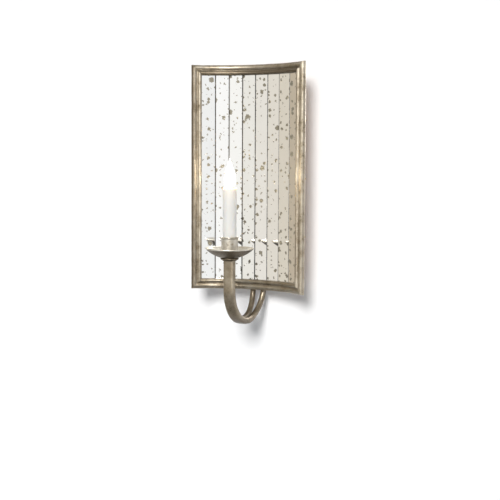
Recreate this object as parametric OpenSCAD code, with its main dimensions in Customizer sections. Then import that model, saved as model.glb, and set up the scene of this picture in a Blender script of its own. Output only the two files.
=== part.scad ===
// Electric wall sconce: one candle on a forked arm in front of a concave panel of mirror strips.
// +Z is up, the wall is the plane Y = 0 and the room lies at -Y. The origin is the middle of
// the mounting strap where it meets the wall.

/* [Panel] */
// Width across the frame's outer beads
panel_w = 228; // [190:1:280]
// Height of the frame
panel_h = 416; // [340:1:520]
// Height of the panel's middle above the mounting strap
panel_rise = 60; // [40:1:90]
// Radius of the concave frame, measured to the axis of the outer bead
curve_r = 185; // [165:1:260]

/* [Frame moulding] */
// Radius of the outer bead
bead_r = 5.7; // [4:0.1:8]
// Radius of the inner bead at the sight edge
lip_r = 3.7; // [2.5:0.1:4.5]
// Distance from the frame's outer edge to the inner bead's axis
lip_w = 15.2; // [13:0.1:18]
// How far the inner bead stands in front of the outer one
lip_rise = 3.6; // [2:0.1:5]
// Depth of the moulding behind the outer bead's axis
frame_back = 7; // [6.5:0.1:10]
// Width of the moulding left outside the rebate
rebate_w = 14; // [12:0.1:15]

/* [Mirror] */
// Thickness of the mirror glass
glass_t = 3; // [2:0.1:4]
// Gap between two strips of mirror
strip_gap = 0.6; // [0.3:0.1:1.5]
// How far the outer strips reach in under the moulding
strip_tuck = 3.5; // [2:0.1:4]
// Thickness of the curved backing board
board_t = 3.2; // [2:0.1:3.4]

/* [Wall pan] */
// Width of the wall pan
pan_w = 112; // [100:1:130]
// Height of the wall pan
pan_h = 150; // [120:1:180]
// Depth of the wall pan
pan_d = 28.5; // [27:0.1:36]
// Thickness of the wall pan's sheet
pan_t = 1.2; // [0.8:0.1:2]
// Thickness of the saddle blocks at their thinnest
saddle_min = 2.8; // [1.5:0.1:6]
// Width of the saddle blocks
saddle_w = 90; // [60:1:96]
// Height of the saddle blocks
saddle_h = 18; // [12:1:26]

/* [Mounting strap] */
// Distance between the two slots for the junction box's screws
slot_pitch = 70; // [60:1:76]
// Width of the slots
slot_w = 4.6; // [4:0.1:5]
// Length of the slots, end to end
slot_l = 14; // [8:0.5:18]
// Thickness of the mounting strap
strap_t = 2; // [1.5:0.1:3]
// Height of the mounting strap
strap_h = 18; // [14:1:26]
// How far the strap's ends are bent forward
tab_l = 16; // [12:1:20]
// Radius of the side screws
side_screw_r = 1.95; // [1.5:0.05:2.5]

/* [Arm] */
// Distance from the wall to the candle's axis
reach = 144.6; // [125:0.1:175]
// Distance from the wall to the axes of the two prongs
prong_stand = 19.8; // [18.5:0.1:20.5]
// Height of the centre of the arm's round bend above the panel's lower edge
bend_rise = 10.6; // [0:0.1:25]
// Width of the arm's bar
bar_w = 21; // [18:0.1:24]
// Thickness of the arm's bar
bar_t = 12.5; // [11:0.1:15]
// Radius of the bar's corners
bar_round = 3.5; // [1:0.1:4.5]
// Wall of the hollow bar
bar_wall = 3.5; // [2.5:0.1:4]
// Radius of a prong
prong_r = 5.3; // [4.8:0.1:6]
// Radius of the wireway in a prong
prong_bore_r = 2.7; // [2:0.1:3]
// Half the distance between the prongs where they leave the bar
fork_in = 5.4; // [5.3:0.1:6]
// Half the distance between the prongs where they stand straight
fork_out = 10.9; // [9:0.1:16]
// Radius of the threaded ends that pass through the wall pan
thread_r = 4.9; // [4:0.1:4.9]

/* [Drip pan and cup] */
// Height of the drip pan's seat below the mounting strap
seat_drop = 79.2; // [60:0.1:100]
// Radius of the drip pan
drip_r = 43.6; // [36:0.1:52]
// Depth of the drip pan below its rim
drip_depth = 17; // [12:0.1:22]
// Thickness of the drip pan's metal
drip_t = 1.6; // [1:0.1:2.5]
// Outer radius of the candle cup
cup_r = 15; // [14.2:0.1:18]
// Height of the candle cup
cup_h = 35.4; // [24:0.1:45]
// Wall of the candle cup
cup_t = 1.5; // [1:0.1:1.8]
// Radius of the rolled edge of the cup
cup_roll = 1.6; // [1:0.1:2.2]
// Radius of the turned collar under the drip pan
collar_r = 16.3; // [14:0.1:20]
// Height of the turned collar
collar_h = 5.8; // [4:0.1:9]

/* [Candle and socket] */
// Outer radius of the candle sleeve
sleeve_r = 12.3; // [12:0.1:12.5]
// Wall of the candle sleeve
sleeve_t = 1.3; // [1:0.1:1.6]
// Length of the candle sleeve
sleeve_l = 118.5; // [90:0.5:140]
// Radius of the socket's moulded body
socket_r = 10.4; // [9.5:0.1:10.4]
// Length of the socket's moulded body
socket_l = 33; // [28:0.5:40]
// Outer radius of the bulb's screw cap
cap_r = 5.95; // [5:0.05:6]
// Widest radius of the flame-shaped bulb
bulb_r = 9.7; // [9:0.1:10.4]
// Height of the bulb's glass
bulb_l = 52; // [40:0.5:70]

/* [Hidden] */

$fn = 96;
big = 1000;               // larger than any piece, for half-space cuts
eps = 0.02;               // overrun of a cut past a face
screw_fit = 0.05;         // radial clearance of a screw in its hole
seat_gap = 0.3;           // gap under a piece that lifts off
glue_gap = 0.1;           // glue line between curved wood faces

strip_n = 8;
board_gap = 0.4;          // gap round the board and glass in the rebate
glass_seat = 0.5;         // how far the glass lies behind the outer bead's axis
under_lip = 0.2;          // how far the rebate's face lies in front of that axis
board_front = frame_back - board_t;
standoff = pan_d + saddle_min + frame_back + bead_r;
axis_y = -(standoff + curve_r - bead_r);   // vertical axis of the panel's curve
sight_w = lip_w + lip_r + 0.3;             // outer edge to sight edge
corner_l = sight_w / 2;                    // outer edge to the middle of the moulding

// The stiles stand square to the curve at this angle, from A sin t + B cos t = C
end_a = curve_r;
end_b = corner_l - bead_r;
end_c = panel_w / 2 - bead_r;
end_t = asin(end_c / sqrt(end_a * end_a + end_b * end_b)) - atan(end_b / end_a);
sight_t = end_t + (corner_l - sight_w) / curve_r * 180 / PI;
strip_t = 2 * sight_t / strip_n;           // angle that one strip takes
glass_r = max(curve_r + glass_seat, curve_r / cos(strip_t / 2));   // wide strips lie deeper
board_room = sqrt(pow(curve_r + board_front - 0.05, 2) - pow(glass_r * cos(strip_t / 2) + glass_t, 2));
tuck = min(strip_tuck, board_room - glass_r * sin(strip_t / 2) + strip_gap / 2);

// One section of the moulding: x is the distance from the curve's axis, y runs from the
// outer edge at 0 down to the sight edge.
module moulding_section() {
  difference() {
    union() {
      translate([curve_r, -bead_r]) circle(r = bead_r, $fn = 60);
      translate([curve_r - lip_rise, -lip_w]) circle(r = lip_r, $fn = 48);
      polygon([
        [curve_r, -bead_r],
        [curve_r - lip_rise, -lip_w],
        [curve_r - lip_rise + 1.2, -sight_w + 0.3],
        [curve_r - under_lip, -sight_w + 0.3],
        [curve_r - under_lip, -rebate_w],
        [curve_r + frame_back, -rebate_w],
        [curve_r + frame_back, -bead_r - 0.3],
        [curve_r + 3.5, -bead_r - 0.3]
      ]);
    }
    translate([curve_r - under_lip, -rebate_w - big]) square([big, big]);
  }
}

// Places its children at a stile: x runs outwards from the middle of the moulding, y away
// from the curve's axis. side is 1 on the right and -1 on the left.
module at_end(side) {
  translate([0, axis_y, 0]) scale_x(side) rotate([0, 0, -end_t]) children();
}

module scale_x(side) {
  if (side < 0) mirror([1, 0, 0]) children();
  else children();
}

// Half-space kept by a rail above the mitre plane of the upper right corner
module mitre_cut() {
  translate([corner_l, 0, panel_h / 2]) rotate([0, 45, 0]) translate([0, -big / 2, -big]) cube([big, big, 2 * big]);
}

module rail_blank() {
  rail_t = end_t + 2 * corner_l / curve_r * 180 / PI;
  difference() {
    translate([0, axis_y, panel_h / 2]) rotate([0, 0, 90 - rail_t])
      rotate_extrude(angle = 2 * rail_t, $fn = 120) moulding_section();
    for (side = [-1, 1])
      at_end(side) mitre_cut();
  }
}

module stile_blank() {
  difference() {
    translate([corner_l, 0, -panel_h / 2]) linear_extrude(panel_h) mirror([1, -1, 0]) moulding_section();
    for (end = [0, 1])
      mirror([0, 0, end]) translate([corner_l, 0, panel_h / 2]) rotate([0, 45, 0])
        translate([-big, -big / 2, -big]) cube([big, big, 2 * big]);
  }
}

module silver_leaf() {
  color([0.63, 0.58, 0.5]) children();
}

module raise_panel() {
  translate([0, 0, panel_rise]) children();
}

module top_rail() {
  silver_leaf() raise_panel() difference() {
    rail_blank();
    clip_holes();
  }
}

module bottom_rail() {
  silver_leaf() raise_panel() difference() {
    mirror([0, 0, 1]) rail_blank();
    clip_holes();
  }
}

module stile(side) {
  silver_leaf() raise_panel() difference() {
    at_end(side) stile_blank();
    clip_holes();
  }
}

// One flat strip of mirror; the outer two are wider, to tuck in under the moulding.
module mirror_strip(i) {
  mid_t = (i - (strip_n + 1) / 2) * strip_t;
  half_w = glass_r * sin(strip_t / 2);
  left = half_w - strip_gap / 2 + (i == 1 ? tuck : 0);
  right = half_w - strip_gap / 2 + (i == strip_n ? tuck : 0);
  glass_h = panel_h - 2 * (rebate_w + board_gap);
  color([0.86, 0.87, 0.85]) raise_panel() translate([0, axis_y, 0]) rotate([0, 0, -mid_t])
    translate([-left, glass_r * cos(strip_t / 2), -glass_h / 2]) cube([left + right, glass_t, glass_h]);
}

module backing_board() {
  board_h = panel_h - 2 * (rebate_w + board_gap);
  board_end = end_t + (corner_l - rebate_w - board_gap) / curve_r * 180 / PI;
  color([0.42, 0.3, 0.2]) raise_panel() translate([0, axis_y, -board_h / 2]) rotate([0, 0, 90 - board_end])
    rotate_extrude(angle = 2 * board_end, $fn = 180) translate([curve_r + board_front, 0]) square([board_t, board_h]);
}

// Retaining clips: x runs across the moulding towards the board, z is away from its back.
clip_l = 14;
clip_w = 10;
clip_t = 1.2;
clip_in = 8;              // from the frame's outer edge to the clip's end
clip_screw_in = 11;       // from the frame's outer edge to the screw
clip_screw_r = 1.2;
clip_screw_l = 5;
clip_head_r = 2.6;
clip_head_t = 1.3;
clip_rows = 3;
clip_cols = 2;

module at_clips() {
  for (side = [-1, 1], k = [1 : clip_rows])
    at_end(side) translate([corner_l, curve_r + frame_back, panel_h * (k / (clip_rows + 1) - 0.5)])
      rotate([-90, 0, 0]) rotate([0, 0, 180]) children();
  for (end = [0, 1], k = [1 : clip_cols])
    mirror([0, 0, end]) translate([0, axis_y, 0]) rotate([0, 0, end_t * (1.4 * k - 2.1)])
      translate([0, curve_r + frame_back, panel_h / 2]) rotate([-90, 0, 0]) rotate([0, 0, 90]) children();
}

module clip_screw(r) {
  translate([clip_screw_in, 0, -clip_screw_l]) cylinder(r = r, h = clip_screw_l + clip_t + eps, $fn = 24);
}

module clip_holes() {
  at_clips() clip_screw(clip_screw_r + screw_fit);
}

module retaining_clips() {
  color([0.72, 0.7, 0.66]) raise_panel() at_clips() difference() {
    translate([clip_in, -clip_w / 2, 0]) cube([clip_l, clip_w, clip_t]);
    clip_screw(clip_screw_r + screw_fit);
  }
}

module clip_screws() {
  color([0.75, 0.65, 0.4]) raise_panel() at_clips() {
    clip_screw(clip_screw_r);
    translate([clip_screw_in, 0, clip_t]) cylinder(r = clip_head_r, h = clip_head_t, $fn = 32);
  }
}

// Saddle blocks: flat against the wall pan, hollowed to the curve of the board.
saddle_edge = 14;         // from the wall pan's end to the middle of a saddle
saddle_screw_x = 32;
saddle_screw_r = 1.8;
saddle_hollow_r = curve_r + frame_back;
saddle_screw_l = min(5, saddle_min + saddle_hollow_r - 0.15
  - sqrt(pow(saddle_hollow_r, 2) - pow(saddle_screw_x - saddle_screw_r, 2)));
saddle_head_r = 3.6;
saddle_head_t = 2;

module saddle_screw_places() {
  for (end = [-1, 1], side = [-1, 1])
    translate([side * saddle_screw_x, -pan_d, end * (pan_h / 2 - saddle_edge)]) rotate([90, 0, 0]) children();
}

module saddle_screw(r) {
  translate([0, 0, -pan_t]) cylinder(r = r, h = saddle_screw_l + pan_t, $fn = 24);
}

module saddle(end) {
  color([0.66, 0.5, 0.33]) difference() {
    translate([-saddle_w / 2, -pan_d - saddle_h, end * (pan_h / 2 - saddle_edge) - saddle_h / 2])
      cube([saddle_w, saddle_h, saddle_h]);
    translate([0, axis_y, -big / 2]) cylinder(r = curve_r + frame_back + glue_gap, h = big, $fn = 360);
    saddle_screw_places() saddle_screw(saddle_screw_r + screw_fit);
  }
}

module saddle_screws() {
  color([0.7, 0.7, 0.7]) saddle_screw_places() {
    saddle_screw(saddle_screw_r);
    translate([0, 0, -pan_t - saddle_head_t]) cylinder(r = saddle_head_r, h = saddle_head_t, $fn = 32);
  }
}

// Wall pan: a shallow sheet-metal box, open at the wall.
pan_corner = 4;
side_screw_y = -9;
prong_hole_fit = 0.2;

module rounded_plan(w, h, r) {
  for (sx = [-1, 1], sz = [-1, 1])
    translate([sx * (w / 2 - r), sz * (h / 2 - r)]) circle(r = r, $fn = 48);
  square([w - 2 * r, h], center = true);
  square([w, h - 2 * r], center = true);
}

module wall_pan() {
  color([0.33, 0.31, 0.28]) difference() {
    rotate([90, 0, 0]) linear_extrude(pan_d) rounded_plan(pan_w, pan_h, pan_corner);
    translate([0, eps, 0]) rotate([90, 0, 0]) linear_extrude(pan_d - pan_t + eps)
      rounded_plan(pan_w - 2 * pan_t, pan_h - 2 * pan_t, pan_corner - pan_t);
    saddle_screw_places() saddle_screw(saddle_screw_r + screw_fit);
    for (side = [-1, 1]) {
      translate([side * fork_out, -prong_stand, -pan_h / 2 - pan_t])
        cylinder(r = thread_r + prong_hole_fit, h = 3 * pan_t, $fn = 48);
      translate([side * pan_w / 2, side_screw_y, 0]) rotate([0, 90, 0])
        cylinder(r = side_screw_r + 0.4, h = 4 * pan_t, center = true, $fn = 32);
    }
  }
}

// Mounting strap: screwed flat over the junction box, with its ends bent forward.
strap_gap = 2.6;          // between the bent ends and the wall pan's sides
strap_half = pan_w / 2 - pan_t - strap_gap;
ground_x = 14;
ground_r = 1.6;
ground_head_r = 3.6;
ground_head_t = 2;

module mounting_strap() {
  color([0.78, 0.77, 0.72]) difference() {
    union() {
      translate([-strap_half, -strap_t, -strap_h / 2]) cube([2 * strap_half, strap_t, strap_h]);
      for (side = [0, 1])
        mirror([side, 0, 0]) translate([strap_half - strap_t, -tab_l, -strap_h / 2])
          cube([strap_t, tab_l, strap_h]);
    }
    for (side = [-1, 1])
      translate([side * slot_pitch / 2, 0, 0]) rotate([90, 0, 0]) {
        for (s = [-1, 1])
          translate([s * (slot_l - slot_w) / 2, 0, -eps]) cylinder(d = slot_w, h = strap_t + 2 * eps, $fn = 32);
        translate([-(slot_l - slot_w) / 2, -slot_w / 2, -eps]) cube([slot_l - slot_w, slot_w, strap_t + 2 * eps]);
      }
    translate([ground_x, eps, 0]) rotate([90, 0, 0])
      cylinder(r = ground_r + screw_fit, h = strap_t + 2 * eps, $fn = 24);
    translate([-big / 2, side_screw_y, 0]) rotate([0, 90, 0])
      cylinder(r = side_screw_r + screw_fit, h = big, $fn = 32);
  }
}

side_head_r = 5.5;
side_head_t = 5;
knurl_n = 24;

module side_screws() {
  color([0.7, 0.6, 0.35]) for (side = [0, 1])
    mirror([side, 0, 0]) translate([pan_w / 2, side_screw_y, 0]) rotate([0, 90, 0]) {
      difference() {
        cylinder(r = side_head_r, h = side_head_t, $fn = 48);
        for (k = [0 : knurl_n - 1])
          rotate([0, 0, k * 360 / knurl_n]) translate([side_head_r + 0.1, 0, 0.8])
            cylinder(r = 0.4, h = side_head_t, $fn = 16);
      }
      translate([0, 0, -pan_t - strap_gap - strap_t - 2])
        cylinder(r = side_screw_r, h = pan_t + strap_gap + strap_t + 2, $fn = 32);
    }
}

module ground_screw() {
  color([0.2, 0.5, 0.25]) translate([ground_x, 0, 0]) rotate([90, 0, 0]) {
    cylinder(r = ground_r, h = strap_t, $fn = 24);
    difference() {
      translate([0, 0, strap_t]) cylinder(r = ground_head_r, h = ground_head_t, $fn = 6);
      translate([-big / 2, -0.5, strap_t + 1.2]) cube([big, 1, big]);
    }
  }
}

// Arm: a hollow flat bar comes down from the collar, turns up through a half circle and
// splits into two round prongs behind the panel.
bend_r = (reach - prong_stand) / 2;
bend_y = -(reach + prong_stand) / 2;
bend_z = panel_rise - panel_h / 2 + bend_rise;
bar_top = -seat_drop - collar_h;
fork_t = 6;               // degrees past the lowest point where the bar splits
prong_end = -pan_h / 2;   // shoulder of a prong, against the underside of the wall pan
thread_l = 16;
thread_root = 2;          // how far the threaded end is let into the prong

module bar_section(inset) {
  rounded_plan(bar_w - 2 * inset, bar_t - 2 * inset, max(bar_round - inset, 1));
}

// The bar's path: straight down, then round the bend to the fork
module along_bar(inset, over) {
  translate([0, -reach, bend_z]) linear_extrude(bar_top - bend_z + over) bar_section(inset);
  translate([0, bend_y, bend_z]) rotate([0, 90, 0]) rotate([0, 0, -90])
    rotate_extrude(angle = 90 + fork_t + over, $fn = 180) translate([bend_r, 0]) rotate([0, 0, 90])
      bar_section(inset);
}

module arm_bar() {
  silver_leaf() difference() {
    along_bar(0, 0);
    along_bar(bar_wall, 0.5);
    translate([0, -reach, bar_top - nipple_in]) cylinder(r = nipple_r, h = nipple_in + 1, $fn = 48);
  }
}

// Centreline of the right prong, and the frame of its rings
function ease(s) = (1 - cos(180 * min(max(s, 0), 1))) / 2;
function fork_x(t) = fork_in + (fork_out - fork_in) * ease((t - fork_t) / (90 - fork_t));
function on_bend(t, x) = [x, bend_y + bend_r * sin(t), bend_z - bend_r * cos(t)];
function prong_path() = concat(
  [for (k = [0 : prong_steps]) let (t = fork_t + (90 - fork_t) * k / prong_steps) on_bend(t, fork_x(t))],
  [[fork_out, -prong_stand, bend_z + 20], [fork_out, -prong_stand, prong_end]]
);
prong_steps = 18;
prong_sides = 28;

function unit(v) = v / norm(v);
function path_dir(p, i) = unit(p[min(i + 1, len(p) - 1)] - p[max(i - 1, 0)]);

// Ring of points round p[i], square to direction d, with one axis kept near side
function ring(c, d, side, r, n) =
  let (a = unit(cross(cross(d, side), d)), b = cross(d, a))
  [for (k = [0 : n - 1]) c + r * (cos(360 * k / n) * a + sin(360 * k / n) * b)];

// Rings of radius r along the points p; first and last set how the two end rings face
function rings(p, r, n, first, last) = [for (i = [0 : len(p) - 1])
  each ring(p[i], i == 0 ? first : i == len(p) - 1 ? last : path_dir(p, i), [1, 0, 0], r, n)];

// Faces between m rings of n points, numbered from start
function skin(m, n, start) = [for (i = [0 : m - 2], k = [0 : n - 1])
  [i * n + k, (i + 1) * n + k, (i + 1) * n + (k + 1) % n, i * n + (k + 1) % n] + start * [1, 1, 1, 1]];
function turned(faces) = [for (f = faces) [for (k = [len(f) - 1 : -1 : 0]) f[k]]];

module rod(p, r, n, first, last) {
  m = len(p);
  polyhedron(rings(p, r, n, first, last), concat(
    [[for (k = [0 : n - 1]) k]],
    [[for (k = [n - 1 : -1 : 0]) (m - 1) * n + k]],
    skin(m, n, 0)
  ));
}

// Tube of outer radius r and bore b; its ends are flat rings.
module tube(p, r, b, n, first, last) {
  m = len(p);
  inner = m * n;
  top = (m - 1) * n;
  polyhedron(concat(rings(p, r, n, first, last), rings(p, b, n, first, last)), concat(
    skin(m, n, 0),
    turned(skin(m, n, inner)),
    [for (k = [0 : n - 1]) [k, (k + 1) % n, inner + (k + 1) % n, inner + k]],
    [for (k = [0 : n - 1]) [top + (k + 1) % n, top + k, inner + top + k, inner + top + (k + 1) % n]]
  ));
}

module prong() {
  silver_leaf() {
    tube(prong_path(), prong_r, prong_bore_r, prong_sides, [0, cos(fork_t), sin(fork_t)], [0, 0, 1]);
    translate([fork_out, -prong_stand, prong_end - thread_root]) difference() {
      cylinder(r = thread_r, h = thread_l + thread_root, $fn = 48);
      translate([0, 0, -1]) cylinder(r = prong_bore_r - 0.3, h = thread_l + thread_root + 2, $fn = 48);
    }
  }
}

nut_flats = 14;
nut_t = 4;

module prong_nuts() {
  color([0.75, 0.65, 0.4]) for (side = [-1, 1])
    translate([side * fork_out, -prong_stand, prong_end + pan_t]) difference() {
      cylinder(r = nut_flats / sqrt(3), h = nut_t, $fn = 6);
      translate([0, 0, -eps]) cylinder(r = thread_r + screw_fit, h = nut_t + 2 * eps, $fn = 48);
    }
}

// Candle stack, from the collar up; every piece is turned about the candle's axis.
seat_z = -seat_drop;
nipple_r = 4.9;
nipple_bore_r = 3.4;
nipple_in = 12;           // thread engaged in the arm's bar
nipple_fit = 0.2;         // clearance of the loose pieces on the nipple
floor_t = 2;              // floor of the candle cup
cup_nut_t = 3;
base_t = 2;               // ring of the socket's bracket
nipple_top = seat_z + drip_t + floor_t + cup_nut_t + base_t + 1.5;
floor_z = seat_z + drip_t + floor_t;
sleeve_z = floor_z + seat_gap;
sleeve_top = sleeve_z + sleeve_l;
socket_drop = 2;          // from the sleeve's top down to the socket's
socket_top = sleeve_top - socket_drop;
socket_z = socket_top - socket_l;

module on_axis() {
  translate([0, -reach, 0]) children();
}

module nipple_hole() {
  translate([0, -reach, seat_z - collar_h - 1])
    cylinder(r = nipple_r + nipple_fit, h = collar_h + drip_t + floor_t + 2, $fn = 48);
}

module collar() {
  neck = 12.6;
  silver_leaf() difference() {
    on_axis() rotate_extrude($fn = 120) {
      translate([0, seat_z - collar_h]) square([neck, collar_h]);
      translate([0, seat_z - 0.7 * collar_h]) square([collar_r - 0.35 * collar_h, 0.7 * collar_h]);
      translate([collar_r - 0.35 * collar_h, seat_z - 0.35 * collar_h]) circle(r = 0.35 * collar_h, $fn = 48);
    }
    nipple_hole();
  }
}

// The drip pan's bowl is part of a sphere, cut flat at its seat and rolled at its rim.
drip_seat_r = 16.5;
rim_roll = 1.25;
drip_fall = drip_depth - 2 * rim_roll;
drip_sphere = (pow(drip_r - rim_roll, 2) - pow(drip_seat_r, 2) + drip_fall * drip_fall) / (2 * drip_fall);
drip_ball = sqrt(pow(drip_sphere, 2) + pow(drip_seat_r, 2));

module drip_pan() {
  silver_leaf() difference() {
    on_axis() {
      translate([0, 0, seat_z]) cylinder(r = drip_seat_r, h = drip_t, $fn = 120);
      rotate_extrude($fn = 120) {
        translate([drip_r - rim_roll, seat_z + drip_depth - rim_roll]) circle(r = rim_roll, $fn = 48);
        intersection() {
          difference() {
            translate([0, seat_z + drip_sphere]) circle(r = drip_ball, $fn = 240);
            translate([0, seat_z + drip_sphere]) circle(r = drip_ball - drip_t, $fn = 240);
          }
          translate([drip_seat_r - 1, seat_z]) square([drip_r - rim_roll - drip_seat_r + 1, drip_fall + rim_roll]);
        }
      }
    }
    nipple_hole();
  }
}

module candle_cup() {
  foot = 3;
  silver_leaf() difference() {
    on_axis() rotate_extrude($fn = 120) {
      translate([0, seat_z + drip_t]) square([cup_r - foot, floor_t]);
      translate([0, seat_z + drip_t + foot]) square([cup_r, cup_h - foot - cup_roll]);
      translate([cup_r - foot, seat_z + drip_t + foot]) circle(r = foot, $fn = 48);
      translate([cup_r - 0.3, seat_z + drip_t + cup_h - cup_roll]) circle(r = cup_roll, $fn = 48);
    }
    on_axis() translate([0, 0, floor_z]) cylinder(r = cup_r - cup_t, h = cup_h, $fn = 120);
    nipple_hole();
  }
}

module cup_nipple() {
  color([0.75, 0.68, 0.45]) on_axis() difference() {
    translate([0, 0, bar_top - nipple_in]) cylinder(r = nipple_r - screw_fit, h = nipple_top - bar_top + nipple_in, $fn = 48);
    translate([0, 0, bar_top - nipple_in - 1])
      cylinder(r = nipple_bore_r, h = nipple_top - bar_top + nipple_in + 2, $fn = 48);
  }
}

module cup_nut() {
  color([0.75, 0.65, 0.4]) on_axis() translate([0, 0, floor_z]) difference() {
    cylinder(r = nut_flats / sqrt(3), h = cup_nut_t, $fn = 6);
    translate([0, 0, -eps]) cylinder(r = nipple_r + screw_fit, h = cup_nut_t + 2 * eps, $fn = 48);
  }
}

bracket_r = 9.4;
bracket_w = 9;
bracket_t = 1.4;
bracket_y = 7.4;          // inner face of the upright
rivet_r = 1.5;
rivet_y = 4.6;

module socket_bracket() {
  base_z = floor_z + cup_nut_t;
  color([0.75, 0.74, 0.7]) on_axis() difference() {
    union() {
      translate([0, 0, base_z]) cylinder(r = bracket_r, h = base_t, $fn = 64);
      intersection() {
        translate([-bracket_w / 2, bracket_y, base_z]) cube([bracket_w, bracket_t, socket_z - base_z]);
        translate([0, 0, base_z]) cylinder(r = bracket_r + 0.6, h = big, $fn = 64);
      }
      translate([-bracket_w / 2, 2, socket_z - bracket_t]) cube([bracket_w, bracket_y - 1.5, bracket_t]);
    }
    translate([0, 0, base_z - 1]) cylinder(r = nipple_r + screw_fit, h = base_t + 2, $fn = 48);
    translate([0, rivet_y, socket_z - 2 * bracket_t]) cylinder(r = rivet_r + screw_fit, h = 3 * bracket_t, $fn = 32);
  }
}

module bracket_rivet() {
  color([0.75, 0.65, 0.4]) on_axis() translate([0, rivet_y, socket_z]) {
    translate([0, 0, -bracket_t]) cylinder(r = rivet_r, h = bracket_t + 4, $fn = 32);
    translate([0, 0, -bracket_t - 1]) cylinder(r = rivet_r + 1, h = 1, $fn = 32);
  }
}

shell_t = 0.45;
shell_fit = 0.1;          // running clearance of the bulb's cap in the shell
shell_r = cap_r + shell_fit + shell_t;
well = 22;                // depth of the socket's well
well_z = socket_top - well;

module socket_body() {
  lead_hole_x = 5;
  color([0.12, 0.11, 0.1]) on_axis() difference() {
    translate([0, 0, socket_z]) cylinder(r = socket_r, h = socket_l, $fn = 96);
    translate([0, 0, well_z]) cylinder(r = shell_r + screw_fit, h = well + 1, $fn = 64);
    translate([0, rivet_y, socket_z - 1]) cylinder(r = rivet_r + screw_fit, h = 5.2, $fn = 32);
    for (side = [-1, 1])
      translate([side * lead_hole_x, 0, socket_z - 1]) cylinder(r = lead_r + 0.25, h = lead_in + 1, $fn = 32);
  }
}

module socket_shell() {
  color([0.8, 0.68, 0.38]) on_axis() difference() {
    translate([0, 0, well_z + 0.2]) cylinder(r = shell_r, h = well - 0.6, $fn = 64);
    translate([0, 0, well_z + 0.2 + shell_t]) cylinder(r = cap_r + shell_fit, h = well, $fn = 64);
    translate([0, 0, well_z - 1]) cylinder(r = 3.2, h = 3, $fn = 48);
  }
}

module socket_contact() {
  color([0.8, 0.68, 0.38]) on_axis() {
    translate([0, 0, well_z]) cylinder(r = 2.4, h = 0.8, $fn = 32);
    translate([0, 0, well_z + 0.8]) cylinder(r1 = 2.4, r2 = 1.4, h = contact_h - 0.8, $fn = 32);
  }
}

contact_h = 2;
cap_z = well_z + contact_h + seat_gap;     // lowest point of the bulb
tip_t = 0.8;
taper = 2.6;
skirt_r = 8.3;
skirt_z = sleeve_top - 0.2;
skirt_t = 2.4;
cap_wall = 0.4;

module candle_sleeve() {
  color([0.95, 0.93, 0.88]) on_axis() translate([0, 0, sleeve_z]) difference() {
    cylinder(r = sleeve_r, h = sleeve_l, $fn = 120);
    translate([0, 0, -1]) cylinder(r = sleeve_r - sleeve_t, h = sleeve_l + 2, $fn = 120);
  }
}

// Screw cap: a thin shell with a flared skirt that holds the glass.
module bulb_cap() {
  low = cap_z + tip_t + taper;
  color([0.85, 0.7, 0.35]) on_axis() rotate_extrude($fn = 96) difference() {
    union() {
      translate([0, low]) square([cap_r, skirt_z - 1.4 - low]);
      polygon([[0, skirt_z - 1.4], [cap_r, skirt_z - 1.4], [skirt_r, skirt_z], [skirt_r, skirt_z + skirt_t],
        [0, skirt_z + skirt_t]]);
    }
    translate([0, low + cap_wall]) square([cap_r - cap_wall, skirt_z - low]);
    polygon([[0, skirt_z - 1.5], [cap_r - cap_wall, skirt_z - 1.5], [cap_r - cap_wall, skirt_z - 1.1],
      [skirt_r - cap_wall, skirt_z + 0.3], [skirt_r - cap_wall, skirt_z + skirt_t + 1],
      [0, skirt_z + skirt_t + 1]]);
    translate([0, low - 1]) square([1.6, 2]);
  }
}

module bulb_insulator() {
  color([0.1, 0.09, 0.1]) on_axis() {
    translate([0, 0, cap_z]) cylinder(r = 2.2, h = tip_t, $fn = 32);
    translate([0, 0, cap_z + tip_t]) cylinder(r1 = 2.8, r2 = cap_r - 0.4, h = taper, $fn = 48);
  }
}

// Flame outline: radius of the glass at height s from 0 to 1 above the skirt
glass_z = skirt_z + 0.6;
neck_r = skirt_r - cap_wall - 0.1;
neck_s = skirt_t / bulb_l;
wide_s = 0.27;
function flame(s) = s < neck_s ? neck_r
  : s < wide_s ? neck_r + (bulb_r - neck_r) * sin(90 * (s - neck_s) / (wide_s - neck_s))
  : bulb_r * (0.075 + 0.925 * pow(cos(90 * (s - wide_s) / (1 - wide_s)), 1.25));
flame_steps = 32;
glass_wall = 0.7;

module flame_solid(inset) {
  top = bulb_l - inset;
  polygon(concat(
    [[0, glass_z + inset]],
    [for (k = [0 : flame_steps]) [max(flame(k / flame_steps) - inset, 0.02), glass_z + inset + (top - inset) * k / flame_steps]],
    [[0, glass_z + top]]
  ));
}

module bulb_glass() {
  color([0.95, 0.95, 0.9, 0.35]) on_axis() rotate_extrude($fn = 96) difference() {
    flame_solid(0);
    flame_solid(glass_wall);
  }
}

stem_h = 15;
module bulb_stem() {
  base = glass_z + glass_wall;
  color([0.9, 0.92, 0.92]) on_axis() {
    translate([0, 0, base]) cylinder(r1 = 4.5, r2 = 1.6, h = 5, $fn = 32);
    translate([0, 0, base + 5]) cylinder(r = 1.6, h = stem_h - 5, $fn = 32);
    translate([0, 0, base + stem_h]) cylinder(r1 = 1.6, r2 = 0.9, h = 1, $fn = 32);
  }
}

// A hairpin filament on two lead-in wires
fil_r = 0.3;
fil_x = 3.4;
fil_h = 15;
module filament() {
  base = glass_z + glass_wall + 5;
  color([1, 0.75, 0.35]) on_axis() {
    for (side = [-1, 1])
      translate([side * fil_x, 0, base - 2.3]) cylinder(r = fil_r, h = fil_h + 2.3, $fn = 16);
    translate([0, 0, base + fil_h]) rotate([90, 0, 0]) rotate_extrude(angle = 180, $fn = 48)
      translate([fil_x, 0]) circle(r = fil_r, $fn = 16);
  }
}

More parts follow.
